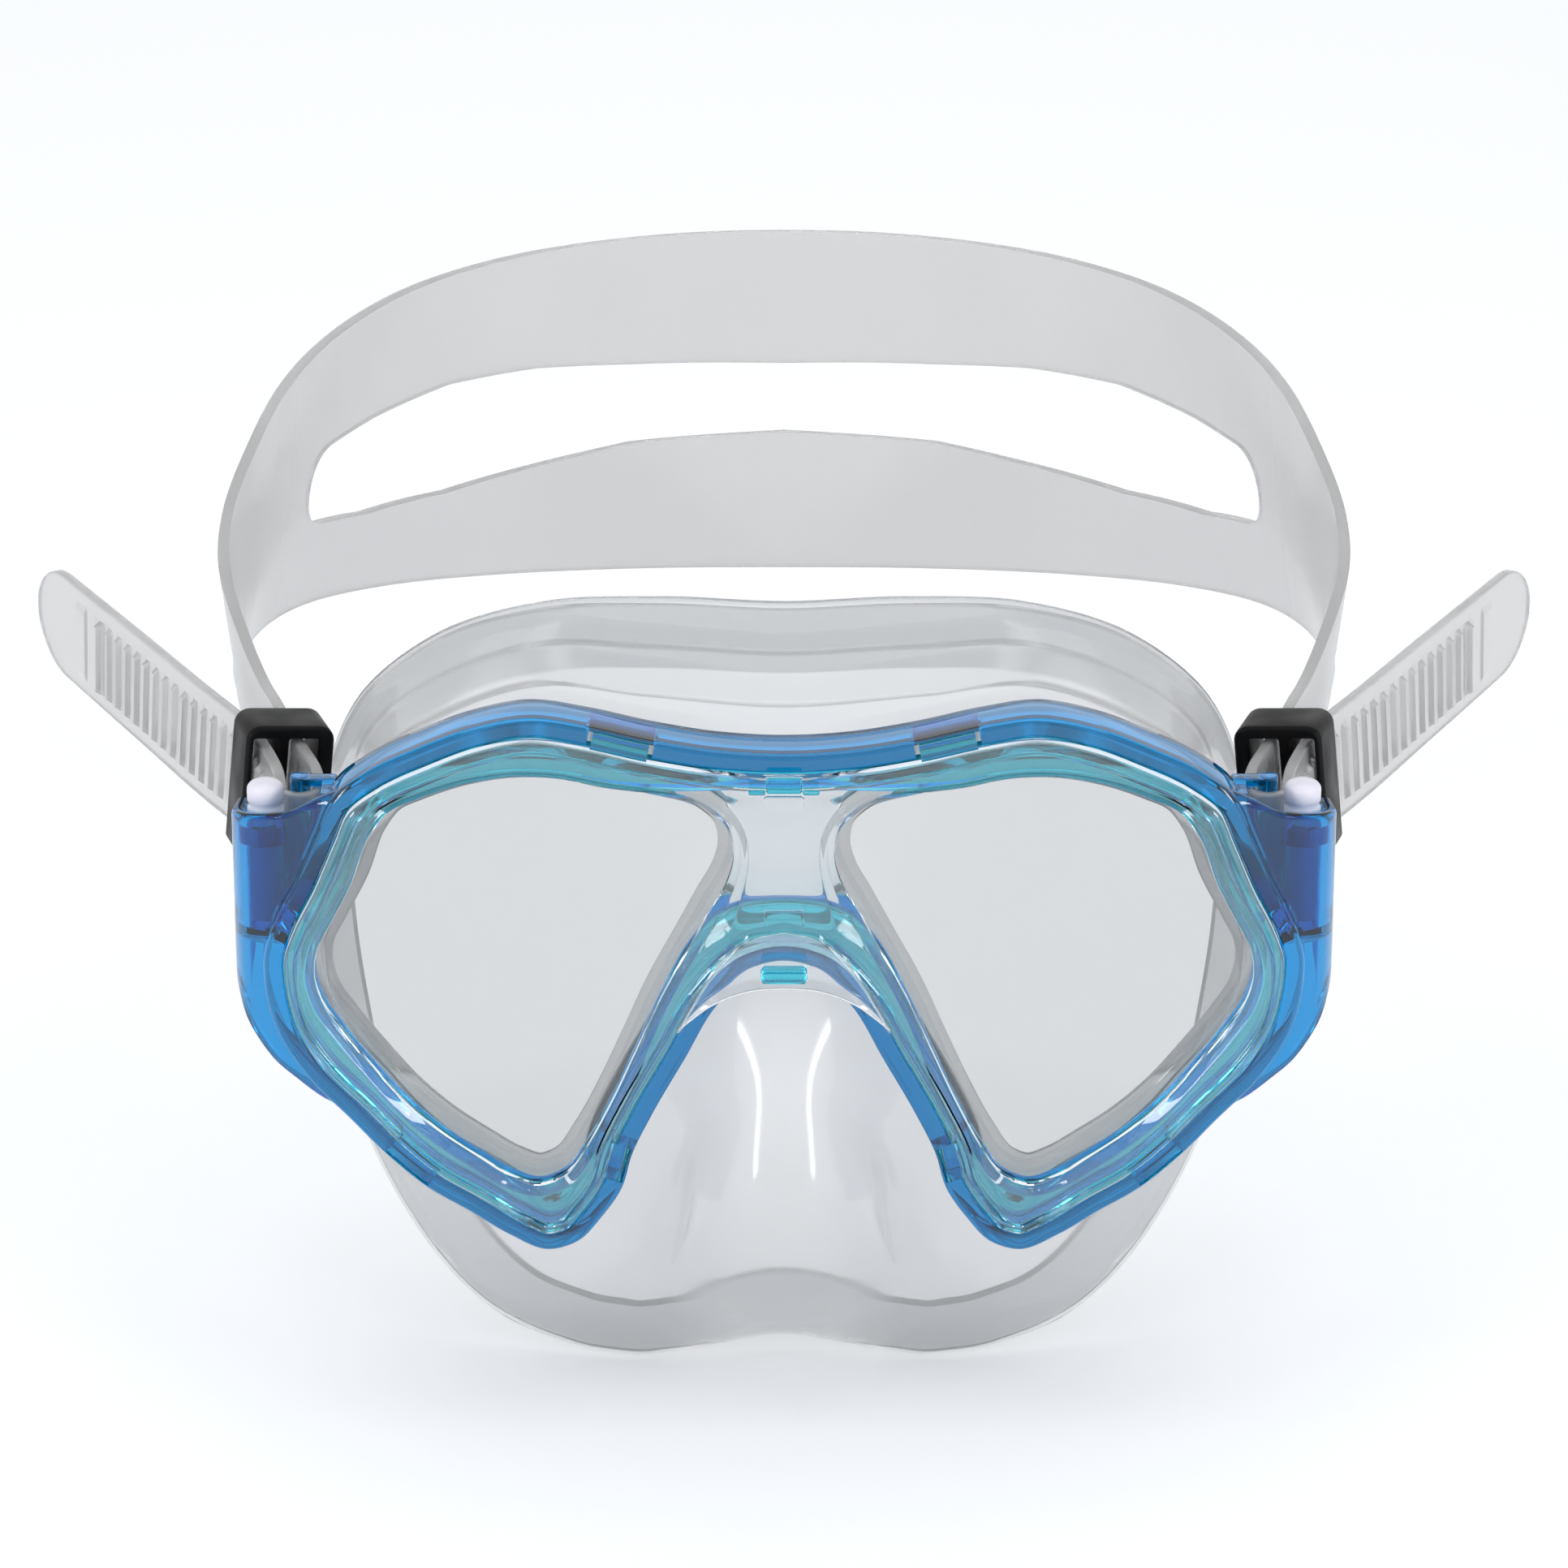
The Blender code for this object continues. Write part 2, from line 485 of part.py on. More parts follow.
def skirt_rows(count):
    """Rows of the skirt's middle surface from gasket to feathered lip, each of count points all round.
    Each row goes through its stations' points, and the first two follow the frame's outline exactly."""
    half = np.array(FRAME_HALF, float)
    fine = closed_outline(whole(FRAME_HALF), 2400)
    run = lengths(np.vstack([fine, fine[:1]]))
    stations = [run[np.argmin(np.hypot(*(fine - half[i]).T))] for i in SKIRT_STATIONS]
    stations[-1] = run[-1] / 2
    knots = np.array(stations) / run[-1]
    side = np.exp(-(((run[:-1] / run[-1] - knots[6]) / TEMPLE_SPREAD) ** 2))
    mirror = np.roll(side[::-1], 1)
    neck_fine = inset(fine, NECK_INSET + TEMPLE_INSET * np.maximum(side, mirror))
    at = np.arange(count) / count
    spots = (at * len(fine)).astype(int)
    neck = neck_fine[spots]
    neck_at_stations = neck_fine[(knots * len(fine)).astype(int) % len(fine)]
    rim = np.array(SKIRT_RIM, float)
    columns = []
    for j, (x, z) in enumerate(neck_at_stations):
        if j < len(SKIRT_FLARE):
            start, end = np.array([x, GASKET_BACK + NECK_LENGTH, z]), rim[j]
            flare = SKIRT_FLARE[j]
            column = [start + (end - start) * (f**flare, f, f**flare) for f in WALL_STEPS]
        else:
            column = [np.array(p, float) for p in POCKET[j - len(SKIRT_FLARE)]]
        columns.append(column + [rim[j]])
    columns = np.array(columns)
    around = np.where(at <= 0.5, at, 1 - at)
    flip = np.where(at <= 0.5, 1, -1)
    depths = (GASKET_FRONT + GASKET_BACK) / 2, GASKET_BACK + NECK_LENGTH
    rows = [np.column_stack([neck[:, 0], np.full(count, depth), neck[:, 1]]) for depth in depths]
    for r in range(columns.shape[1]):
        knots_out = np.concatenate([-knots[2:0:-1], knots, 1 - knots[-2:-4:-1]])
        before, after = columns[2:0:-1, r] * (-1, 1, 1), columns[-2:-4:-1, r] * (-1, 1, 1)
        row = spline(knots_out, np.vstack([before, columns[:, r], after]), around)
        row[:, 0] *= flip
        rows.append(row)
    edge = rows[-1][:, [0, 2]]
    lip = inset(edge, LIP_WIDTH)
    rows.append(np.column_stack([lip[:, 0], rows[-1][:, 1] - LIP_FORWARD, lip[:, 1]]))
    return np.array(rows)


def smoothed_rows(rows, between):
    """More rows between the given ones, on smooth curves through them."""
    knots = np.arange(len(rows))
    at = np.linspace(0, len(rows) - 1, (len(rows) - 1) * between + 1)
    flat = spline(knots, rows.reshape(len(rows), -1), at)
    return flat.reshape(len(at), *rows.shape[1:])


def skirt(outline, window, parts, helpers, material):
    rows = smoothed_rows(skirt_rows(SKIRT_COLUMNS), 2)
    made = add("skirt", grid_mesh("skirt", rows, True), parts, material)
    thicken(made, SKIRT_WALL)
    opening = inset(window, GASKET_REACH)
    outlines = [inset(outline, FRAME_RIM + GAP), opening, opening * (-1, 1)]
    gasket = as_helper(flat_outline("gasket", outlines, GASKET_FRONT, GASKET_BACK, helpers))
    # The thickened wall crosses itself a little in the neck's corners, which the exact solver won't take.
    boolean(made, gasket, "UNION").solver = "MANIFOLD"
    return made


def right_of(plan):
    """Unit vectors to the right of a plan path, square to it."""
    along = np.gradient(plan, axis=0)
    along /= np.linalg.norm(along, axis=1)[:, None]
    return np.column_stack([along[:, 1], -along[:, 0]])


def rib_profile(run, first, last):
    """Where the ribs stand along the strap: 1 on a rib and 0 between ribs, from first to last."""
    phase = np.mod(run - first, RIB_PITCH)
    return np.where((run >= first) & (run <= last) & (phase <= RIB_WIDTH), 1.0, 0.0)


def strap_end(parts, helpers, material):
    """The ribbed end: from the tail's tip through the slider, round the post and back to the flex line."""
    knots = lengths(np.array(STRAP_END)[:, :2])
    total = knots[-1]
    flank = 0.12
    steps = np.arange(60)[:, None] * RIB_PITCH + (0, flank, RIB_WIDTH, RIB_WIDTH + flank)
    ribbed = steps[(steps > 30) & (steps < total - 12)]
    bend = np.linspace(knots[BEND_STARTS], knots[BEND_ENDS], 18)
    plain = [20.0, total - 8, total]
    run = np.unique(np.round(np.concatenate([np.linspace(0.1, 10, 7), plain, ribbed, bend]), 4))
    path = spline(knots, STRAP_END, run)
    plan, middle, lean = path[:, :2], path[:, 2], path[:, 3]
    outside = -right_of(plan)
    tip = HALF_HEIGHT
    height = np.where(run < tip, np.sqrt(np.maximum(tip**2 - (tip - run) ** 2, 0.05)), HALF_HEIGHT)
    after_bend = np.ceil((bend[-1] - 2) / RIB_PITCH) * RIB_PITCH
    tail_ribs = rib_profile(run, 12 * RIB_PITCH, bend[0] + 2)
    ribs = np.maximum(tail_ribs, rib_profile(run, after_bend, total - 13))
    inner = np.full(len(run), -STRAP_THICKNESS / 2)
    outer = STRAP_THICKNESS / 2 + RIB_HEIGHT * ribs
    corners = []
    for depth, sign in ((inner, -1), (outer, -1), (outer, 1), (inner, 1)):
        shift = outside * (depth + lean * sign * height)[:, None]
        corners.append(np.column_stack([plan + shift, middle + sign * height]))
    sections = np.stack(corners, axis=1)
    mesh = grid_mesh("strap_end_left", sections, True)
    work = bmesh.new()
    work.from_mesh(mesh)
    bmesh.ops.holes_fill(work, edges=[e for e in work.edges if e.is_boundary])
    bmesh.ops.recalc_face_normals(work, faces=work.faces)
    work.to_mesh(mesh)
    work.free()
    made = add("strap_end_left", mesh, parts, material)
    disc = bpy.data.meshes.new("flex disc")
    work = bmesh.new()
    reach = (HALF_HEIGHT + FLEX_CLEARANCE) * MM
    depth = FLEX_DISC_DEPTH * MM
    bmesh.ops.create_cone(work, cap_ends=True, segments=48, radius1=reach, radius2=reach, depth=depth)
    work.to_mesh(disc)
    work.free()
    cutter = as_helper(add("flex disc", disc, helpers))
    cutter.location = (FLEX_DISC_X * MM, FLEX_Y * MM, FLEX_Z * MM)
    cutter.rotation_euler = (0, pi / 2, 0)
    boolean(made, cutter, "DIFFERENCE")
    return made


def strap_band(parts, material):
    """The rear band with its split, from one flex line round the head to the other."""
    lead = (STRAP_END[-2][0] - 0.2, -4.4, 19.4, HALF_HEIGHT, -0.05)
    half = np.array([lead] + STRAP_BAND)
    both = np.vstack([half, (half[:-1] * (-1, 1, 1, 1, 1))[::-1]])
    knots = lengths(both[:, :2])
    total = knots[-1]
    nose = np.array([0.15, 0.8, 2.0, 3.8, 6.0, 8.3])
    run = np.concatenate([nose, np.linspace(12, total - 12, 49), total - nose[::-1]])
    path = spline(knots, both, run)
    plan, middle, height, lean = path[:, :2], path[:, 2], path[:, 3], path[:, 4]
    from_end = np.minimum(run, total - run)
    rounded = np.sqrt(np.maximum(HALF_HEIGHT**2 - np.maximum(HALF_HEIGHT - from_end, 0) ** 2, 0))
    height = np.where(from_end < HALF_HEIGHT, rounded, height)
    side = right_of(plan)
    split = np.array(SPLIT)[::-1]
    low = np.interp(np.abs(plan[:, 0]), split[:, 0], split[:, 1]) - middle
    high = np.interp(np.abs(plan[:, 0]), split[:, 0], split[:, 2]) - middle
    is_split = (plan[:, 1] > 90) & (np.abs(plan[:, 0]) < SPLIT[0][0])
    low = np.where(is_split, low, -0.25 * height)
    high = np.where(is_split, high, 0.25 * height)
    levels = np.stack([-height, (low - height) / 2, low, high, (high + height) / 2, height], axis=1)
    points = np.empty((*levels.shape, 3))
    points[..., :2] = plan[:, None] + side[:, None] * (lean[:, None] * levels)[..., None]
    points[..., 2] = middle[:, None] + levels
    keep = np.ones((len(run) - 1, 5), bool)
    keep[:, 2] = ~(is_split[:-1] & is_split[1:])
    made = add("strap_band", grid_mesh("strap_band", points, False, keep), parts, material)
    thicken(made, STRAP_THICKNESS)
    return made


# ---------------------------------------------------------------- assembly


def smooth_shade(obj):
    if obj.type == "MESH":
        obj.data.shade_smooth()
        obj.data.set_sharp_from_angle(angle=radians(35))


def build():
    clear_scene()
    parts, helpers = new_collection("diving_mask"), new_collection("cutters")
    blue = principled("blue polycarbonate", (0.0, 0.22, 0.6), 0.15, 0.75)
    aqua = principled("aqua polycarbonate", (0.08, 0.6, 0.68), 0.15, 0.6)
    clear = principled("clear polycarbonate", (0.85, 0.9, 0.92), 0.08, 0.3)
    glass = principled("tempered glass", (0.8, 0.82, 0.82), 0.02, 0.2)
    silicone = principled("clear silicone", (0.78, 0.78, 0.78), 0.3, 0.35)
    white = principled("white acetal", (0.8, 0.8, 0.86), 0.35)
    black = principled("black nylon", (0.012, 0.012, 0.014), 0.45)

    outline = closed_outline(whole(FRAME_HALF), 108)
    window = closed_outline(WINDOW, 54)
    front_frame(outline, parts, helpers, blue)
    lens_retainer(outline, parts, helpers, aqua)
    clear_bezel(outline, window, parts, helpers, clear)
    lens("lens_left", window, parts, glass)
    lens("lens_right", window * (-1, 1), parts, glass)
    skirt(outline, window, parts, helpers, silicone)
    sides = [roller(parts, white), slider(parts, helpers, black), strap_end(parts, helpers, silicone)]
    strap_band(parts, silicone)
    for piece in sides:
        other_side(piece, piece.name.replace("_left", "_right"), parts)
    for piece in parts.objects:
        smooth_shade(piece)


build()
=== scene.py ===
"""The looks of a two-lens diving mask: fine mouldings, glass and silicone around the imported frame.

Design numbers are millimetres in the row frame: +X is the wearer's left, the lenses face -Y, +Z is up, and
the origin is the middle of the face seal. Left-hand pieces are worked out and then mirrored.
"""

from math import cos, pi, radians, sin

import bmesh
import bpy
import numpy as np
from mathutils import Matrix, Vector


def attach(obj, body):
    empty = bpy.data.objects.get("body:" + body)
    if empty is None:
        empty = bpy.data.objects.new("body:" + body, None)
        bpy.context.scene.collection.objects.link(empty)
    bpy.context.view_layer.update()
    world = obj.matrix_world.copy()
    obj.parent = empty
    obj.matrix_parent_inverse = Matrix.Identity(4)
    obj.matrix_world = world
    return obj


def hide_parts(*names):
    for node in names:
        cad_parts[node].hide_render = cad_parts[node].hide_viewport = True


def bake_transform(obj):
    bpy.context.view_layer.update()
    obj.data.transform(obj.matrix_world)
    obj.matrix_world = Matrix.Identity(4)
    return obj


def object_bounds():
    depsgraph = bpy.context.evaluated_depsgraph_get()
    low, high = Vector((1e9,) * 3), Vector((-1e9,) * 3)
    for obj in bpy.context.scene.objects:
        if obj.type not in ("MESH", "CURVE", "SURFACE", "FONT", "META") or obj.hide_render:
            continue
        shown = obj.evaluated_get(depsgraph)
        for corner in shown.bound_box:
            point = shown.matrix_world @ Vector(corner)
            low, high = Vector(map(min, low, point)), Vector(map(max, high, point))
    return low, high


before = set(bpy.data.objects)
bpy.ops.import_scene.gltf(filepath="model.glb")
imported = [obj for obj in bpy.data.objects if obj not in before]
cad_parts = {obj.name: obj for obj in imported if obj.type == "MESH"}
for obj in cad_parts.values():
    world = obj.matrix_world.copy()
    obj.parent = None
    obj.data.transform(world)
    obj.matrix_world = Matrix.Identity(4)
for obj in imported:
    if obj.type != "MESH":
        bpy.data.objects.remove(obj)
cad_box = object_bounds()
MM = 0.001

# ---------------------------------------------------------------- sizes

# Most of these repeat the frame's own sizes. LEDGE_REACH is 5.0 there, SKIRT_WALL is 1.6, the tops in WING
# are up to 2 mm lower, and the first row of SPLIT is (81.5, 26.5, 33.5). FLOOR_PLAN is used only here.

FRAME_FRONT, FRAME_BACK, LEDGE_FRONT = -50.0, -40.2, -41.4
BEZEL_FRONT, BEZEL_BACK = -51.4, -49.0
LIP_FRONT, LIP_BACK = -53.0, -50.3
RETAINER_FRONT, RETAINER_BACK = -48.7, -46.5
LENS_FRONT, LENS_BACK = -46.2, -43.2
GASKET_FRONT, GASKET_BACK = -42.9, -41.7
FRAME_RIM, LEDGE_REACH, GAP = 2.8, 3.6, 0.3
NECK_INSET, TEMPLE_INSET, TEMPLE_SPREAD = 6.2, 2.0, 0.055
LENS_OVERLAP, GASKET_REACH = 2.0, 2.5

# Half outlines in the plane of the lenses: x outwards, z up, from the top centre round to the nose.
FRAME_HALF = [
    (0, 35.4), (10, 36.0), (20, 37.7), (29, 39.8), (37.5, 41.0), (46, 39.4), (54, 36.3), (61.5, 32.6),
    (66.5, 28.6), (69.3, 22.5), (72.3, 15.5), (75.4, 9.3), (77.2, 4.0), (77.2, -1.5), (75.6, -8.5),
    (71.3, -15.8), (65, -22.7), (59.7, -28.5), (53.5, -34.0), (47.2, -37.9), (41.5, -41.6), (35.5, -44.1),
    (31.2, -42.8), (27.5, -38.8), (24.4, -34.0), (22.8, -28.5), (20, -22.5), (14.8, -13.0), (10, -4.4),
    (5.2, 0.6), (0, 2.0),
]
WINDOW = [
    (26.5, 30.4), (33.3, 31.8), (40.1, 32.0), (47, 30.9), (53.9, 28.6), (58.4, 26.4), (61, 23.0), (64, 15.2),
    (67, 9.3), (69.2, 4.9), (69.7, 1.2), (68.7, -3.2), (65.4, -8.6), (61.1, -14.3), (56.7, -19.6),
    (51.4, -24.6), (45.2, -29.0), (40.7, -31.8), (36.8, -33.1), (33.2, -31.7), (29.6, -26.8), (26.2, -20.4),
    (22.4, -12.0), (18.4, -2.9), (14.2, 5.0), (10.9, 11.2), (8.5, 15.6), (7.5, 19.8), (8.3, 23.8),
    (11.4, 26.9), (18.5, 29.2),
]
RETAINER_TOP = [(0, 30.0), (9, 29.7), (18, 29.7)]
RETAINER_NOSE = [(18.2, -2.5), (14.0, 5.4), (9.2, 10.6), (4.6, 12.5), (0, 13.0)]
LIP_UPPER = [(0, 8.6), (5.2, 7.4), (9.6, 3.4), (13.4, -2.6), (16.0, -7.4)]
LIP_LOWER = [(16.0, -7.4), (10.2, -2.9), (5.2, -1.0), (0, -0.5)]

# Snap tabs of the retainer that show through the frame's rim: x, z and length along the rim.
TABS = [(23.6, 38.5, 9.0), (57.2, -30.7, 8.0), (23.4, -30.4, 6.0)]

# The buckle wing's wall: outer face (x, y), inner face (x, y), top z and bottom z of each station.
WING = [
    (62.0, -49.4, 62.0, -45.2, 30.6, -24.6), (66.0, -49.3, 66.0, -45.7, 29.2, -21.6),
    (69.5, -48.4, 69.3, -45.9, 27.6, -19.8), (73.0, -47.2, 72.4, -45.2, 25.6, -17.5),
    (77.0, -45.6, 76.2, -43.8, 24.5, -14.4), (80.6, -43.3, 79.2, -41.8, 23.9, -9.4),
    (82.2, -39.8, 80.3, -39.3, 23.4, -4.6), (82.3, -35.0, 80.3, -35.0, 22.8, -1.0),
    (82.2, -30.6, 80.4, -30.6, 22.0, 2.4),
]
FLOOR_PLAN = [
    (75.2, -46.2), (78.4, -44.4), (80.9, -42.4), (81.6, -39.8), (81.6, -30.6), (71.0, -30.6), (71.0, -40.0),
    (73.4, -40.6), (74.8, -42.6),
]
FLOOR_UNDER, FLOOR_TOP = 3.5, 5.5
POST_PLAN = [(71, -32), (71, -33.8), (71.6, -34.7), (72.5, -35), (73.4, -34.7), (74, -33.8), (74, -32)]
BAR_UNDER, BAR_TOP = 24.9, 26.4
ROLLER_X, ROLLER_Y, ROLLER_RADIUS = 77.2, -38.9, 2.75
ROLLER_BOTTOM, ROLLER_TOP = 6.2, 27.8
SEAT_RADIUS, SEAT_BORE, SEAT_UNDER, SEAT_TOP = 4.2, 2.85, 18.6, 21.4
# How far the seat's two jaws reach past its middle: at the bore, and in degrees on the outside.
SEAT_MOUTH, SEAT_OPENING = 0.8, 11

SLIDER_SIZE, SLIDER_DEPTH = (13.7, 22.6), 9.7
SLIDER_CENTRE, SLIDER_YAW, SLIDER_LEAN = (77.1, -15.6, 18.0), 17.0, 6.0
SLOTS, SLOT_HEIGHT = [(-3.95, 3.5), (2.1, 4.6)], 18.6

# Skirt: outline points by index, the rim beyond each, how late the wall flares, and the nose pocket's
# columns.
SKIRT_STATIONS = [0, 2, 4, 6, 8, 10, 13, 15, 17, 19, 21, 23, 25, 27, 28, 30]
SKIRT_RIM = [
    (0, -10, 45), (19, -9.5, 45.6), (36.5, -7, 44), (53, -2, 37.3), (64.5, 3, 26.5), (70.3, 6, 13.5),
    (72, 6.5, -2), (70.8, 3.5, -20), (65.5, -5, -42), (54.5, -14, -59.5), (43.5, -19, -68.5),
    (33.5, -21.5, -72), (25.5, -23, -73), (17, -23, -72.6), (8.5, -22, -71.2), (0, -21, -69.8),
]
SKIRT_FLARE = [1.1, 1.1, 1.1, 1.4, 2.2, 2.6, 2.6, 2.0, 1.3, 1.0, 1.0]
WALL_STEPS = [0.14, 0.32, 0.5, 0.67, 0.84]
POCKET = [
    [(29.5, -37.0, -38), (26, -33.5, -44), (24.5, -32, -50), (26, -30, -56.5), (29.5, -26.5, -64)],
    [(25, -37.2, -28), (17.6, -36.4, -34), (16.8, -37, -43), (18.5, -34.5, -52), (22, -29, -62)],
    [(16.5, -37.4, -13), (10.4, -41, -25), (11.8, -43.6, -38), (14, -40.5, -50), (16, -31, -61.5)],
    [(11, -37.6, -4), (5.6, -43.4, -20), (6.6, -47.8, -36), (8, -46.6, -50), (8.6, -35, -62)],
    [(0, -37.6, 1.5), (0, -44.2, -18), (0, -49.2, -36), (0, -48.6, -50), (0, -36, -62.5)],
]
SKIRT_WALL, NECK_LENGTH, LIP_WIDTH, LIP_FORWARD = 1.5, 2.4, 10.0, 3.0
# Two soft steps run round the wall, strongest over the brow: the row each is at, and its rise.
BROW_STEPS = [(3.2, 0.9), (5.0, 0.7)]

# Strap: plan x, y, middle z and lean along the ribbed end, from its tip round the post and back.
STRAP_THICKNESS, HALF_HEIGHT = 1.8, 8.5
RIB_HEIGHT, RIB_PITCH, RIB_WIDTH, RIB_FLANK = 0.9, 2.75, 1.3, 0.3
PANEL_HEIGHT, PANEL_HALF_LENGTH, PANEL_MIDDLES = 0.35, 1.6, (14.0, 19.5)
STRAP_END = [
    (119.0, 38.5, 29.7, 0.0), (101.6, 14.8, 24.2, -0.06), (85.6, -6.4, 19.0, -0.1),
    (82.5, -10.4, 18.2, -0.1), (80.9, -15.6, 18.0, -0.1), (79.4, -20.3, 17.9, -0.1),
    (76.7, -27.6, 17.0, -0.05), (75.3, -33.0, 16.1, 0.0),
    (74.8, -35.1, 16.1, 0.0), (72.5, -36.4, 16.1, 0.0), (70.2, -35.1, 16.1, 0.0), (69.7, -33.0, 16.1, 0.0),
    (70.9, -27.6, 17.0, 0.05), (73.8, -20.3, 17.9, 0.1), (75.3, -15.6, 18.0, 0.1), (76.9, -10.6, 18.2, 0.1),
    (78.8, -4.0, 19.2, 0.07), (81.0, 4.0, 19.8, 0.03),
]
BEND_STARTS, BEND_ENDS = 6, 12
# The strap's joint between its two pieces lies inside the slider, wherever that slides.
SEAM_Y = -17.0
# The rear band: plan x, y, middle z, half height and lean, from the buckle to the back of the head.
STRAP_BAND = [
    (81.0, 4.0, 19.8, 8.5, -0.03), (84.5, 17.0, 21.3, 10.2, 0.03), (87.3, 32.0, 23.4, 12.9, 0.12),
    (89.2, 50.0, 25.6, 15.4, 0.05), (89.0, 66.0, 28.2, 18.5, -0.08), (86.6, 82.0, 31.0, 21.9, -0.16),
    (79.6, 101.5, 32.6, 24.6, -0.18), (67.0, 118.5, 33.1, 27.2, -0.14), (50.5, 130.0, 33.3, 29.0, -0.08),
    (26.0, 137.8, 33.6, 30.2, -0.02), (0.0, 140.0, 33.7, 30.6, 0.0),
]
SPLIT = [
    (84.0, 24.5, 34.5), (79.6, 22.6, 36.4), (71.5, 20.8, 38.8), (58.9, 21.1, 41.4), (43.6, 23.7, 41.9),
    (27, 26.6, 41.2), (0, 28.0, 40.7),
]
SPLIT_END_X, SPLIT_ROUND, SPLIT_POWER = 80.8, 6.0, 2.4

# ---------------------------------------------------------------- curves


def spline(knots, values, at):
    """A cubic through the values at uneven knots, each slope taken from the two neighbours."""
    knots, values, at = np.asarray(knots, float), np.asarray(values, float), np.asarray(at, float)
    steps = np.diff(knots)[:, None]
    rises = np.diff(values, axis=0) / steps
    slopes = np.empty_like(values)
    slopes[0], slopes[-1] = rises[0], rises[-1]
    slopes[1:-1] = (rises[:-1] * steps[1:] + rises[1:] * steps[:-1]) / (steps[1:] + steps[:-1])
    i = np.clip(np.searchsorted(knots, at, side="right") - 1, 0, len(knots) - 2)
    h = steps[i]
    u = ((at - knots[i]) / h[:, 0])[:, None]
    start = values[i] * (2 * u**3 - 3 * u**2 + 1) + slopes[i] * h * (u**3 - 2 * u**2 + u)
    return start + values[i + 1] * (3 * u**2 - 2 * u**3) + slopes[i + 1] * h * (u**3 - u**2)


def lengths(points):
    """Distance along a polyline at each of its points."""
    return np.concatenate([[0], np.cumsum(np.linalg.norm(np.diff(points, axis=0), axis=1))])


def open_curve(points, count):
    """Equally spaced points on a smooth open curve through the given ones."""
    points = np.asarray(points, float)
    knots = lengths(points)
    return spline(knots, points, np.linspace(0, knots[-1], count))


def closed_outline(points, count):
    """Equally spaced points on a smooth closed curve through the given ones."""
    points = np.asarray(points, float)
    around = np.vstack([points[-3:], points, points[:4]])
    knots = lengths(around)
    fine = spline(knots, around, np.linspace(knots[3], knots[3 + len(points)], count * 12 + 1))
    run = lengths(fine)
    even = np.linspace(0, run[-1], count, endpoint=False)
    return np.column_stack([np.interp(even, run, fine[:, k]) for k in range(points.shape[1])])


def whole(half):
    """The full outline from its half at x >= 0, which starts and ends on the centre line."""
    return list(half) + [(-p[0], *p[1:]) for p in half[-2:0:-1]]


def inset(outline, distance):
    """The outline moved inwards by a distance, or by one distance for each point."""
    along = np.roll(outline, -1, axis=0) - np.roll(outline, 1, axis=0)
    inwards = np.column_stack([along[:, 1], -along[:, 0]]) / np.linalg.norm(along, axis=1)[:, None]
    x, z = outline.T
    area = np.sum(x * np.roll(z, -1) - z * np.roll(x, -1))
    return outline + inwards * (-np.sign(area) * np.broadcast_to(distance, len(outline)))[:, None]


def right_of(plan):
    """Unit vectors to the right of a plan path, square to it."""
    along = np.gradient(plan, axis=0)
    along /= np.linalg.norm(along, axis=1)[:, None]
    return np.column_stack([along[:, 1], -along[:, 0]])


def rounded_rectangle(low, high, radius, steps=6):
    """A rectangle between two corners (a, b) with quarter circles at its corners."""
    turn = np.linspace(0, pi / 2, steps)
    centres = [(high[0] - radius, high[1] - radius), (low[0] + radius, high[1] - radius)]
    centres += [(low[0] + radius, low[1] + radius), (high[0] - radius, low[1] + radius)]
    arcs = [
        np.column_stack([a + radius * np.cos(turn + q * pi / 2), b + radius * np.sin(turn + q * pi / 2)])
        for q, (a, b) in enumerate(centres)
    ]
    return np.vstack(arcs)


def rounded_polygon(points, radius):
    """A polygon whose corners are short quadratic curves, (1 - u)^2 start + 2u(1 - u) corner + u^2 end."""
    points = np.asarray(points, float)
    before, after = np.roll(points, 1, axis=0), np.roll(points, -1, axis=0)
    made = []
    for p, b, n in zip(points, before, after):
        reach_b = min(radius, np.linalg.norm(b - p) * 0.45)
        reach_n = min(radius, np.linalg.norm(n - p) * 0.45)
        start = p + (b - p) / np.linalg.norm(b - p) * reach_b
        end = p + (n - p) / np.linalg.norm(n - p) * reach_n
        u = np.linspace(0, 1, 5)[:, None]
        made.append(start * (1 - u) ** 2 + 2 * p * u * (1 - u) + end * u**2)
    return np.vstack(made)


def round_edge(front, back, radius, steps=5):
    """A rounded edge's profile, (inset, depth) from the front face round to the back face."""
    a = np.linspace(0, pi / 2, steps)
    first = np.column_stack([radius - radius * np.sin(a), front + radius - radius * np.cos(a)])
    last = np.column_stack([radius - radius * np.cos(a), back - radius + radius * np.sin(a)])
    return np.vstack([first, last])


# ---------------------------------------------------------------- meshes


def new_object(name, points, faces, sharp=40):
    """A mesh object from points in millimetres: doubles merged, faces turned outwards, shaded round."""
    mesh = bpy.data.meshes.new(name)
    mesh.from_pydata((np.asarray(points, float) * MM).tolist(), [], faces)
    work = bmesh.new()
    work.from_mesh(mesh)
    bmesh.ops.remove_doubles(work, verts=work.verts, dist=2e-6)
    bmesh.ops.recalc_face_normals(work, faces=work.faces)
    work.to_mesh(mesh)
    work.free()
    obj = bpy.data.objects.new(name, mesh)
    bpy.context.scene.collection.objects.link(obj)
    smooth(obj, sharp)
    return obj


def smooth(obj, sharp):
    """Round shading, with edges left sharp past this angle in degrees."""
    obj.data.shade_smooth()
    obj.data.set_sharp_from_angle(angle=radians(sharp))


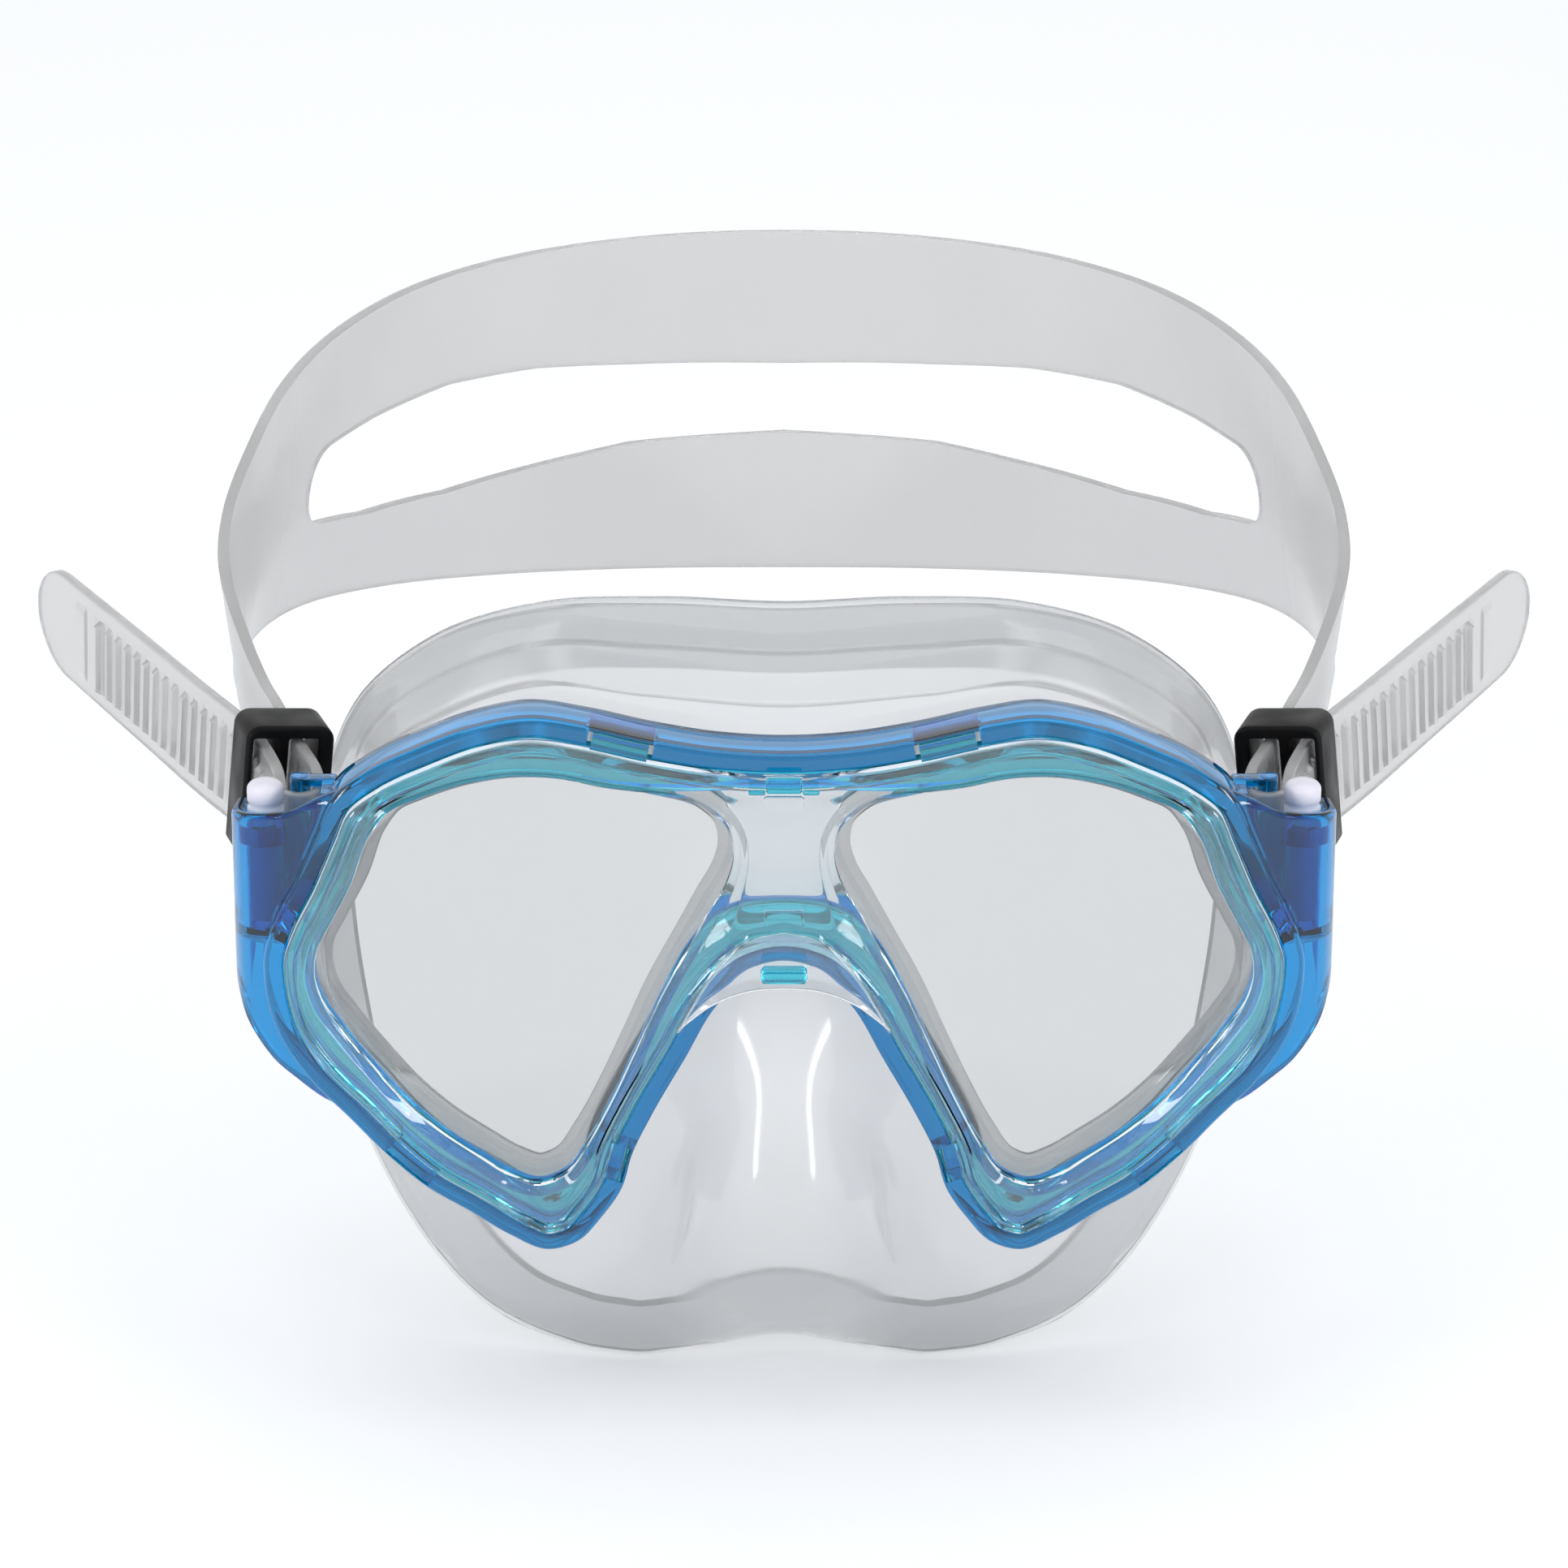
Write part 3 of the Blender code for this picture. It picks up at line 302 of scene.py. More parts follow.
def quads(rows, columns, wrap_rows=False, wrap_columns=False, keep=None):
    """Corner numbers of a grid's faces. A kept grid leaves out the faces where keep is false."""
    index = np.arange(rows * columns).reshape(rows, columns)
    down = np.roll(index, -1, axis=0) if wrap_rows else index[1:]
    near = index if wrap_rows else index[:-1]
    if wrap_columns:
        made = np.stack([near, np.roll(near, -1, axis=1), np.roll(down, -1, axis=1), down], axis=-1)
    else:
        made = np.stack([near[:, :-1], near[:, 1:], down[:, 1:], down[:, :-1]], axis=-1)
    return made.reshape(-1, 4) if keep is None else made[keep]


def surface(name, grid, wrap_rows=False, wrap_columns=False, caps=False, sharp=40):
    """A surface through a grid of points, rows by columns. Caps close the first and last rows."""
    rows, columns = grid.shape[:2]
    faces = quads(rows, columns, wrap_rows, wrap_columns).tolist()
    if caps:
        faces += [list(range(columns)), list(range((rows - 1) * columns, rows * columns))]
    return new_object(name, grid.reshape(-1, 3), faces, sharp)


def rim_rows(outline, profile, spots=slice(None)):
    """A row of points for each (inset, depth) of a profile, at all or some of the outline's spots."""
    rows = [(inset(outline, away)[spots], depth) for away, depth in profile]
    return np.stack([np.column_stack([r[:, 0], np.full(len(r), depth), r[:, 1]]) for r, depth in rows])


def swept_ring(name, outline, profile):
    """A closed profile (inset, depth) carried round a closed outline in the plane of the lenses."""
    return surface(name, rim_rows(outline, profile), True, True)


def swept_bar(name, outline, middle, length, profile):
    """A closed profile (inset, depth) carried along a stretch of the outline, centred near a point."""
    step = np.linalg.norm(outline[1] - outline[0])
    nearest = np.argmin(np.hypot(outline[:, 0] - middle[0], outline[:, 1] - middle[1]))
    reach = int(round(length / 2 / step))
    spots = np.arange(nearest - reach, nearest + reach + 1) % len(outline)
    grid = rim_rows(outline, profile, spots).transpose(1, 0, 2)
    return surface(name, grid, False, True, caps=True, sharp=30)


def flat_faces(loops):
    """Triangles that fill a flat area between closed loops, as corner numbers in the loops' order."""
    starts = np.cumsum([0] + [len(loop) for loop in loops[:-1]])
    rounds = [start + np.arange(len(loop)) for start, loop in zip(starts, loops)]
    edges = np.vstack([np.column_stack([corners, np.roll(corners, -1)]) for corners in rounds])
    mesh = bpy.data.meshes.new("flat face")
    mesh.from_pydata(np.vstack(loops).tolist(), edges.tolist(), [])
    work = bmesh.new()
    work.from_mesh(mesh)
    bmesh.ops.triangle_fill(work, use_beauty=True, edges=work.edges[:])
    work.to_mesh(mesh)
    work.free()
    found = np.empty(len(mesh.loops), np.int32)
    mesh.loops.foreach_get("vertex_index", found)
    bpy.data.meshes.remove(mesh)
    return found.reshape(-1, 3)


def plate(name, edges, upright=True, place=None, sharp=40):
    """A flat moulding. Each edge is an outline and its profile of (inset, depth) from front to back. The
    first edge is the outer one and the others are holes, whose insets go outwards. Flat faces close the
    front and the back."""
    points, faces, first, last, at = [], [], [], [], 0
    for number, (outline, profile) in enumerate(edges):
        side = -1 if number else 1
        size = len(outline)
        rings = [np.column_stack([inset(outline, side * s), np.full(size, d)]) for s, d in profile]
        points.append(np.vstack(rings))
        faces += (quads(len(profile), size, False, True) + at).tolist()
        first.append((rings[0], at))
        last.append((rings[-1], at + (len(profile) - 1) * size))
        at += len(profile) * size
    for loops in (first, last):
        numbers = np.concatenate([np.arange(len(ring)) + start for ring, start in loops])
        faces += numbers[flat_faces([ring for ring, _ in loops])].tolist()
    points = np.vstack(points)
    if upright:
        points = points[:, [0, 2, 1]]
    if place is not None:
        points = points @ np.array(place.to_3x3()).T + np.array(place.translation)
    return new_object(name, points, faces, sharp)


def level_plate(name, outline, low, high, radius, steps=5):
    """A moulding that lies level: a plan outline between two heights, with its edges rounded."""
    return plate(name, [(outline, round_edge(low, high, radius, steps))], upright=False)


def turned(name, profile, x, y, steps=64):
    """A profile (radius r, height) turned about an upright axis: (x + r cos a, y + r sin a, height). Its
    ends are on the axis."""
    profile = np.asarray(profile, float)
    a = np.linspace(0, 2 * pi, steps, endpoint=False)
    radius, height = profile[:, :1], profile[:, 1:]
    grid = np.stack([x + radius * np.cos(a), y + radius * np.sin(a), height + 0 * a], -1)
    return surface(name, grid, False, True)


def coated(obj, finish):
    """Gives a finished mesh its one material, in place of any empty slots left by joining."""
    obj.data.materials.clear()
    obj.data.materials.append(finish)
    return obj


def mirrored(obj, name):
    """A mirror image of a finished piece across the centre plane."""
    mesh = obj.data.copy()
    mesh.name = name
    work = bmesh.new()
    work.from_mesh(mesh)
    bmesh.ops.scale(work, vec=(-1, 1, 1), verts=work.verts)
    bmesh.ops.reverse_faces(work, faces=work.faces)
    work.to_mesh(mesh)
    work.free()
    made = bpy.data.objects.new(name, mesh)
    bpy.context.scene.collection.objects.link(made)
    return made


def applied(obj):
    """Makes the object's modifiers part of its mesh."""
    bpy.context.view_layer.update()
    done = bpy.data.meshes.new_from_object(obj.evaluated_get(bpy.context.evaluated_depsgraph_get()))
    done.name = obj.name
    obj.modifiers.clear()
    obj.data = done
    return obj


def combined(obj, others, operation="UNION", sharp=40):
    """Joins other closed pieces to this one, or cuts them from it, and removes them."""
    for other in others:
        modifier = obj.modifiers.new(other.name, "BOOLEAN")
        modifier.operation = operation
        modifier.solver = "MANIFOLD"
        modifier.object = other
    applied(obj)
    for other in others:
        bpy.data.objects.remove(other, do_unlink=True)
    smooth(obj, sharp)
    return obj


# ---------------------------------------------------------------- materials

# Refractive indices of the real materials, but for the nylon's, which is a little under its real 1.53.
POLYCARBONATE_IOR, GLASS_IOR, SILICONE_IOR, NYLON_IOR, ACETAL_IOR = 1.585, 1.52, 1.41, 1.46, 1.48
# The silicone's haze drifts over patches of this size, down to this share of its tint.
HAZE_PATCH, HAZE_DRIFT = 45.0, 0.975


def linear(code):
    """The linear colour of an sRGB hex code."""
    parts = np.array([int(code[i : i + 2], 16) for i in (1, 3, 5)]) / 255
    return (*np.where(parts <= 0.04045, parts / 12.92, ((parts + 0.055) / 1.055) ** 2.4), 1.0)


def node(tree, kind, inputs, **settings):
    """One shader node with its settings. An input is a value, or an output to link from."""
    made = tree.nodes.new(f"ShaderNode{kind}")
    for key, value in settings.items():
        setattr(made, key, value)
    for key, value in inputs.items():
        if isinstance(value, bpy.types.NodeSocket):
            tree.links.new(value, made.inputs[key])
        else:
            made.inputs[key].default_value = value
    return made


def material(name, sockets):
    """A Principled material, its tree and its shader, with these sockets set to constants."""
    made = bpy.data.materials.new(name)
    made.use_nodes = True
    shader = made.node_tree.nodes["Principled BSDF"]
    for key, value in sockets.items():
        shader.inputs[key].default_value = value
    return made, made.node_tree, shader


def grain(tree, size_mm, detail=0.0):
    """Noise of this grain size, fixed to the object's own coordinates."""
    where = node(tree, "TexCoord", {})
    scale = 1000 / size_mm
    noise = node(tree, "TexNoise", {"Vector": where.outputs["Object"], "Scale": scale, "Detail": detail})
    return noise.outputs["Fac"]


def pattern_bump(tree, shader, size_mm, depth_mm, detail=2.0):
    """Unevenness of the moulded surface: noise of this grain size and depth."""
    height = grain(tree, size_mm, detail)
    bump = node(tree, "Bump", {"Height": height, "Distance": depth_mm * MM, "Strength": 1.0})
    tree.links.new(bump.outputs["Normal"], shader.inputs["Normal"])


def varied_roughness(tree, shader, size_mm, low, high):
    """Handling and mould marks: roughness drifts between two values over patches of this size."""
    limits = {"From Min": 0.3, "From Max": 0.7, "To Min": low, "To Max": high}
    spread = node(tree, "MapRange", {"Value": grain(tree, size_mm), **limits})
    tree.links.new(spread.outputs["Result"], shader.inputs["Roughness"])


def polycarbonate(name, tint, roughness, ripple_mm, ripple_depth, sockets):
    """Injection-moulded polycarbonate, dyed or clear: glossy, with the faint ripple of its mould."""
    made, tree, shader = material(
        f"{name} polycarbonate, moulded",
        {
            "Base Color": linear(tint),
            "Roughness": roughness,
            "IOR": POLYCARBONATE_IOR,
            "Transmission Weight": 1.0,
            **sockets,
        },
    )
    pattern_bump(tree, shader, ripple_mm, ripple_depth)
    return made


def blue_polycarbonate():
    """The frame's transparent blue dye, deep where light crosses several of its faces."""
    return polycarbonate("blue", "#0090D4", 0.03, 9.0, 0.012, {"Specular IOR Level": 0.16})


def aqua_polycarbonate():
    """The retainer's light green-blue dye."""
    return polycarbonate("aqua", "#48DFF2", 0.03, 8.0, 0.012, {"Specular IOR Level": 0.2})


def clear_polycarbonate():
    """The bezel's undyed plastic: water-clear with bright moulded edges."""
    return polycarbonate("clear", "#F6FAFC", 0.02, 8.0, 0.008, {})


def tempered_glass():
    """Float glass, tempered: flat, polished and faintly grey."""
    tint = linear("#D8D9D9")
    sockets = {"Base Color": tint, "Roughness": 0.0, "IOR": GLASS_IOR, "Transmission Weight": 1.0}
    return material("tempered float glass", sockets)[0]


def clear_silicone(name, tint, haze, roughness):
    """Liquid silicone rubber moulded clear: soft gloss outside, and a milky haze inside that drifts."""
    sockets = {"Roughness": roughness, "IOR": SILICONE_IOR, "Transmission Weight": 1.0 - haze}
    made, tree, shader = material(name, sockets)
    shade = node(tree, "ValToRGB", {"Fac": grain(tree, HAZE_PATCH)})
    shade.color_ramp.elements[0].color = tuple(HAZE_DRIFT * np.array(linear(tint)[:3])) + (1.0,)
    shade.color_ramp.elements[1].color = linear(tint)
    tree.links.new(shade.outputs["Color"], shader.inputs["Base Color"])
    return made


def black_nylon():
    """Black moulded nylon: satin, with a fine spark-eroded grain."""
    tint = linear("#060607")
    sockets = {"Base Color": tint, "Roughness": 0.36, "IOR": NYLON_IOR, "Specular IOR Level": 0.18}
    made, tree, shader = material("black nylon, grained", sockets)
    pattern_bump(tree, shader, 0.55, 0.03, 3.0)
    varied_roughness(tree, shader, 6.0, 0.34, 0.5)
    return made


def white_acetal():
    """White acetal turned pin: slightly waxy, with a little light inside."""
    made, tree, shader = material(
        "white acetal, turned",
        {
            "Base Color": linear("#DEDEEA"),
            "Roughness": 0.3,
            "IOR": ACETAL_IOR,
            "Subsurface Weight": 0.3,
            "Subsurface Scale": 0.002,
        },
    )
    pattern_bump(tree, shader, 1.2, 0.01)
    return made


# ---------------------------------------------------------------- rigid mouldings


def snap_bar(name, outline, tab, low, high, front, back):
    """A block along the rim between two insets and two depths, with its long edges eased."""
    x, z, length = tab
    ease = 0.25
    profile = [
        (low + ease, front), (high - ease, front), (high, front + ease), (high, back - ease),
        (high - ease, back), (low + ease, back), (low, back - ease), (low, front + ease),
    ]
    return swept_bar(name, outline, (x, z), length, profile)


def both_sides(pieces):
    """Left-hand pieces and their mirror images."""
    return pieces + [mirrored(piece, piece.name + " right") for piece in pieces]


def wing_wall():
    """The wing's wall: a section with round top and bottom, carried along the sweep of the wing."""
    knots = lengths(np.array(WING)[:, :2])
    run = np.linspace(0, knots[-1], 70)
    ox, oy, ix, iy, top, bottom = spline(knots, WING, run).T
    # The rear edge is eased over its last millimetre.
    ease = np.sqrt(np.clip(1 - np.clip((run - knots[-1] + 1.0) / 1.0, 0, 1) ** 2, 0.02, 1))
    middle = np.column_stack([(ox + ix) / 2, (oy + iy) / 2])
    across = np.column_stack([(ox - ix) / 2, (oy - iy) / 2]) * ease[:, None]
    half_t = np.linalg.norm(across, axis=1)
    a = np.linspace(-pi / 2, pi / 2, 9)
    levels = np.linspace(0, 1, 22)
    centre, half = (top + bottom) / 2, (top - bottom) / 2 - half_t
    rows = []
    for t, w in [(1.0, 2 * v - 1) for v in levels] + [(-1.0, 1 - 2 * v) for v in levels]:
        bulge = 0.5 * (1 - w**2) * (t > 0)
        rows.append((middle + across * t, centre + half * w, bulge))
    outer = [np.column_stack([xy, z]) for xy, z, _ in rows[: len(levels)]]
    inner = [np.column_stack([xy, z]) for xy, z, _ in rows[len(levels) :]]
    top_arc = [np.column_stack([middle - across * sin(b), centre + half + half_t * cos(b)]) for b in a[1:-1]]
    low_arc = [np.column_stack([middle + across * sin(b), centre - half - half_t * cos(b)]) for b in a[1:-1]]
    grid = np.stack(outer + top_arc + inner + low_arc, axis=1)
    return surface("wing wall", grid, False, True, caps=True)


def wing_pieces():
    """The left wing's wall, floor, strap post with its top bar, and the roller's split seat."""
    floor = level_plate("floor", rounded_polygon(FLOOR_PLAN, 0.8), FLOOR_UNDER, FLOOR_TOP, 0.4)
    post = level_plate("post", rounded_polygon(POST_PLAN, 0.3), FLOOR_UNDER + 0.6, BAR_TOP, 0.4)
    bar_plan = rounded_rectangle((66.9, -34.85), (73.8, -32.15), 0.5)
    bar = level_plate("bar", bar_plan, BAR_UNDER, BAR_TOP - 0.12, 0.4)
    stay_plan = rounded_rectangle((66.75, -41.2), (69.1, -32.5), 0.6)
    stay = level_plate("stay", stay_plan, BAR_UNDER + 0.1, BAR_TOP - 0.22, 0.4)
    opening = radians(SEAT_OPENING)
    outer = np.linspace(opening, -pi - opening, 44)
    gap = np.arcsin(SEAT_MOUTH / SEAT_BORE)
    inner = np.linspace(-pi - gap, gap, 36)
    ring = np.vstack(
        [
            SEAT_RADIUS * np.column_stack([np.cos(outer), np.sin(outer)]),
            SEAT_BORE * np.column_stack([np.cos(inner), np.sin(inner)]),
        ]
    )
    turn = np.array([[cos(pi / 4), -sin(pi / 4)], [sin(pi / 4), cos(pi / 4)]])
    ring = ring @ turn.T + (ROLLER_X, ROLLER_Y)
    seat = level_plate("seat", ring, SEAT_UNDER, SEAT_TOP, 0.2, 3)
    return [wing_wall(), floor, post, bar, stay, seat]


def front_frame(outline, blue):
    """The blue frame: a stepped rim round both lenses, with a wing and its buckle at each side."""
    a = np.linspace(0, pi / 2, 6)
    nose = [(0.9 - 0.9 * sin(b), FRAME_FRONT + 0.9 - 0.9 * cos(b)) for b in a]
    profile = nose[::-1] + [
        (FRAME_RIM - 0.45, FRAME_FRONT), (FRAME_RIM - 0.12, FRAME_FRONT + 0.12),
        (FRAME_RIM, FRAME_FRONT + 0.45), (FRAME_RIM, LEDGE_FRONT - 0.4),
        (FRAME_RIM + 0.12, LEDGE_FRONT - 0.12), (FRAME_RIM + 0.4, LEDGE_FRONT),
        (LEDGE_REACH - 0.3, LEDGE_FRONT), (LEDGE_REACH, LEDGE_FRONT + 0.3), (LEDGE_REACH, FRAME_BACK - 0.3),
        (LEDGE_REACH - 0.3, FRAME_BACK), (0.6, FRAME_BACK), (0.18, FRAME_BACK - 0.18), (0, FRAME_BACK - 0.6),
        (0, FRAME_BACK - 4.0),
    ]
    made = swept_ring("front_frame_moulding", outline, profile)
    notches = [
        snap_bar(f"notch {n}", outline, (x, z, length + 0.3), 0.4, 4.4, FRAME_FRONT - 0.6, -42.4)
        for n, (x, z, length) in enumerate(TABS)
    ]
    under, wide, over = ROLLER_BOTTOM - GAP, ROLLER_RADIUS + GAP, 40
    room_profile = [(0, under), (wide, under), (wide, over), (0, over)]
    room = turned("room for the roller", room_profile, ROLLER_X, ROLLER_Y)
    # The wing gives way inside the ring, to the retainer in front of the ledge and to the lens through it.
    seat_edge = round_edge(-60, LEDGE_FRONT + 0.2, 0.1, 2)
    seat = plate("retainer room", [(inset(outline, FRAME_RIM - 0.4), seat_edge)])
    behind = plate("lens room", [(inset(outline, LEDGE_REACH - 0.4), round_edge(-44, -36, 0.1, 2))])
    wings = wing_pieces()
    wing = combined(combined(wings[0], wings[1:]), [seat, behind], "DIFFERENCE")
    combined(made, both_sides([wing]))
    combined(made, both_sides(notches + [room]), "DIFFERENCE")
    return coated(made, blue)


def lens_retainer(outline, inner, aqua):
    """The aqua ring in front of the lenses: a flat ring with a raised inner lip and its snap tabs."""
    front, back = RETAINER_FRONT, RETAINER_BACK
    lip = [
        (1.15, front + 0.5), (1.05, front + 0.42), (0.9, front + 0.1), (0.75, front), (0.4, front),
        (0.12, front + 0.12), (0, front + 0.45), (0, back - 0.4), (0.12, back - 0.12), (0.4, back),
    ]
    rim = [
        (0.95, front + 0.5), (0.85, front + 0.4), (0.7, front + 0.05), (0.35, front), (0.1, front + 0.15),
        (0, front + 0.4), (0, back - 0.3), (0.3, back),
    ]
    made = plate("lens_retainer_ring", [(inset(outline, FRAME_RIM + GAP), rim), (inner, lip)])
    tabs = [
        snap_bar(f"tab {n}", outline, tab, 0.55, 4.0, FRAME_FRONT + 0.1, -42.8) for n, tab in enumerate(TABS)
    ]
    combined(made, both_sides(tabs))
    return coated(made, aqua)


def bridge_crown():
    """The crowned bar down the middle of the bezel: half an ellipse across, narrow at the nose's bridge."""
    knots = [6.0, 9.0, 12.0, 16.0, 20.0, 24.0, 27.0, 29.5]
    halves = np.array([[8.4], [7.9], [6.9], [5.8], [5.3], [5.9], [7.6], [9.8]])
    levels = np.linspace(knots[0], knots[-1], 48)
    half = spline(knots, halves, levels)[:, 0]
    rise = 1.55 * np.sqrt(np.clip(1 - ((levels - 17.75) / 11.8) ** 2, 0.0, 1)) + 0.02
    a = np.linspace(0, pi, 41)
    face = BEZEL_FRONT + 0.25
    front = [np.column_stack([half * cos(b), face - rise * sin(b) ** 0.8, levels]) for b in a]
    back = [np.column_stack([half * cos(b), np.full(len(levels), face + 0.6), levels]) for b in a[::-1]]
    return surface("bridge crown", np.stack(front + back, axis=1), False, True, caps=True)


def clear_bezel(outline, window, clear):
    """The clear cover ring with its sloped window edges, the crowned bridge and the visor lip."""
    front, back = BEZEL_FRONT, BEZEL_BACK
    rim = [
        (2.35, front), (2.1, front), (1.95, front + 0.22), (1.75, front + 0.3), (1.55, front + 0.22),
        (1.4, front), (0.9, front + 0.02), (0.35, front + 0.22), (0.08, front + 0.55), (0, front + 0.9),
        (0, back - 0.3), (0.3, back),
    ]
    slope = [
        (1.7, front), (1.4, front + 0.03), (1.2, front + 0.14), (0.35, front + 0.95), (0.1, front + 1.15),
        (0, front + 1.4), (0, back - 0.3), (0.3, back),
    ]
    made = plate(
        "clear_bezel_cover",
        [(inset(outline, FRAME_RIM + GAP), rim), (window, slope), (window * (-1, 1), slope)],
        sharp=28,
    )
    lip_half = np.vstack([open_curve(LIP_UPPER, 30), open_curve(LIP_LOWER, 30)[1:]])
    lip_outline = np.array(whole([tuple(p) for p in lip_half]))
    lip = plate("visor lip", [(lip_outline, round_edge(LIP_FRONT, LIP_BACK, 0.45))])
    combined(made, [bridge_crown(), lip], sharp=28)
    slot = small_block("slot room", (-3.5, -54.0, 0.55), (3.5, -51.4, 2.55), 0.8)
    upper = small_block("upper catch", (-3.0, -52.1, 27.2), (3.0, -50.6, 29.6), 0.5)
    lower = small_block("lower catch", (-3.0, -52.95, 8.9), (3.0, -51.5, 12.1), 0.5)
    combined(combined(made, [upper, lower], sharp=28), [slot], "DIFFERENCE", sharp=28)
    return coated(made, clear)


def lens(name, window, glass):
    """A flat tempered lens with a ground edge."""
    made = plate(name, [(inset(window, -LENS_OVERLAP), round_edge(LENS_FRONT, LENS_BACK, 0.35, 4))])
    return coated(made, glass)


def small_block(name, low, high, radius):
    """A small moulded block between two corners, with rounded corners and eased faces."""
    outline = rounded_rectangle((low[0], low[2]), (high[0], high[2]), radius)
    return plate(name, [(outline, round_edge(low[1], high[1], min(radius, 0.3), 4))])


def catches(aqua):
    """The retainer's catches down the centre line: a cap and its two nibs over the cover's top edge, and
    the bar in the visor lip's slot."""
    blocks = [
        ((-2.6, -51.95, 30.1), (2.6, -51.5, 32.6), 0.4), ((2.75, -51.8, 29.9), (5.2, -51.5, 30.6), 0.3),
        ((-5.2, -51.8, 29.9), (-2.75, -51.5, 30.6), 0.3), ((-3.25, -52.9, 0.8), (3.25, -51.6, 2.3), 0.6),
    ]
    names = ["catch_cap", "catch_nib_left", "catch_nib_right", "catch_bar"]
    return [coated(small_block(name, *block), aqua) for name, block in zip(names, blocks)]


def strap_roller(name, white):
    """The white pin: a domed head with a fine moulded groove under it, and a plain shaft."""
    r = ROLLER_RADIUS
    a = np.linspace(pi / 2, 0, 9)
    dome = [(r * cos(b) ** 0.8, ROLLER_TOP - 1.5 + 1.5 * sin(b)) for b in a]
    neck = [
        (r, 24.6), (r - 0.12, 24.45), (r - 0.22, 24.2), (r - 0.22, 23.9), (r - 0.12, 23.65), (r, 23.5),
        (r, ROLLER_BOTTOM + 0.5), (r - 0.15, ROLLER_BOTTOM + 0.15), (r - 0.5, ROLLER_BOTTOM),
        (0, ROLLER_BOTTOM),
    ]
    made = turned(name, [(0, ROLLER_TOP)] + dome[1:] + neck, ROLLER_X, ROLLER_Y)
    return coated(made, white)


def strap_slider(name, black):
    """The black two-slot keeper, made square and then turned and leant as it sits on the strap."""
    wide, tall = SLIDER_SIZE
    half_w, half_h, corner, chamfer = wide / 2, tall / 2, 2.4, 2.0
    arc = np.radians(np.linspace(90, 0, 10))
    right = np.column_stack([half_w - corner + corner * np.cos(arc), half_h - corner + corner * np.sin(arc)])
    low = np.array([(half_w, 0.3 + chamfer - half_h), (half_w - 0.15, chamfer - half_h - 0.1)])
    low = np.vstack([low, [(half_w - chamfer + 0.1, 0.15 - half_h), (half_w - chamfer - 0.3, -half_h)]])
    side = np.vstack([right, low])
    outline = np.vstack([side, side[::-1] * (-1, 1)])
    half_d = SLIDER_DEPTH / 2
    edges = [(outline, round_edge(-half_d, half_d, 0.7))]
    for middle, width in SLOTS:
        a, b = width / 2, SLOT_HEIGHT / 2
        hole = rounded_rectangle((-middle - a, -b), (-middle + a, b), 0.45)
        edges.append((hole, round_edge(-half_d, half_d, 0.35, 4)))
    turn = Matrix.Rotation(radians(-SLIDER_YAW), 4, "Z") @ Matrix.Rotation(radians(-SLIDER_LEAN), 4, "Y")
    made = plate(name, edges, place=Matrix.Translation(SLIDER_CENTRE) @ turn)
    return coated(made, black)


# ---------------------------------------------------------------- silicone


def skirt_rows(count, between):
    """Rows of the skirt's middle surface from gasket to feathered lip: smooth curves round through each
    station's points, and smooth curves down each of the count columns."""
    half = np.array(FRAME_HALF, float)
    fine = closed_outline(whole(FRAME_HALF), 2400)
    run = lengths(np.vstack([fine, fine[:1]]))
    stations = [run[np.argmin(np.hypot(*(fine - half[i]).T))] for i in SKIRT_STATIONS]
    stations[-1] = run[-1] / 2
    knots = np.array(stations) / run[-1]
    side = np.exp(-(((run[:-1] / run[-1] - knots[6]) / TEMPLE_SPREAD) ** 2))
    neck_fine = inset(fine, NECK_INSET + TEMPLE_INSET * np.maximum(side, np.roll(side[::-1], 1)))
    at = np.arange(count) / count
    neck = neck_fine[(at * len(fine)).astype(int)]
    neck_at_stations = neck_fine[(knots * len(fine)).astype(int) % len(fine)]
    rim = np.array(SKIRT_RIM, float)
    columns = []
    for j, (x, z) in enumerate(neck_at_stations):
        if j < len(SKIRT_FLARE):
            start, end, flare = np.array([x, GASKET_BACK + NECK_LENGTH, z]), rim[j], SKIRT_FLARE[j]
            column = [start + (end - start) * (f**flare, f, f**flare) for f in WALL_STEPS]
        else:
            column = [np.array(p, float) for p in POCKET[j - len(SKIRT_FLARE)]]
        columns.append(column + [rim[j]])
    columns = np.array(columns)
    around, flip = np.where(at <= 0.5, at, 1 - at), np.where(at <= 0.5, 1, -1)
    depths = (GASKET_FRONT + GASKET_BACK) / 2, GASKET_BACK + NECK_LENGTH
    rows = [np.column_stack([neck[:, 0], np.full(count, depth), neck[:, 1]]) for depth in depths]
    knots_out = np.concatenate([-knots[2:0:-1], knots, 1 - knots[-2:-4:-1]])
    for r in range(columns.shape[1]):
        before, after = columns[2:0:-1, r] * (-1, 1, 1), columns[-2:-4:-1, r] * (-1, 1, 1)
        row = spline(knots_out, np.vstack([before, columns[:, r], after]), around)
        row[:, 0] *= flip
        rows.append(row)
    lip = inset(rows[-1][:, [0, 2]], LIP_WIDTH)
    rows.append(np.column_stack([lip[:, 0], rows[-1][:, 1] - LIP_FORWARD, lip[:, 1]]))
    rows = np.array(rows)
    level = np.linspace(0, len(rows) - 1, (len(rows) - 1) * between + 1)
    grid = spline(np.arange(len(rows)), rows.reshape(len(rows), -1), level).reshape(len(level), count, 3)
    return grid, level, around


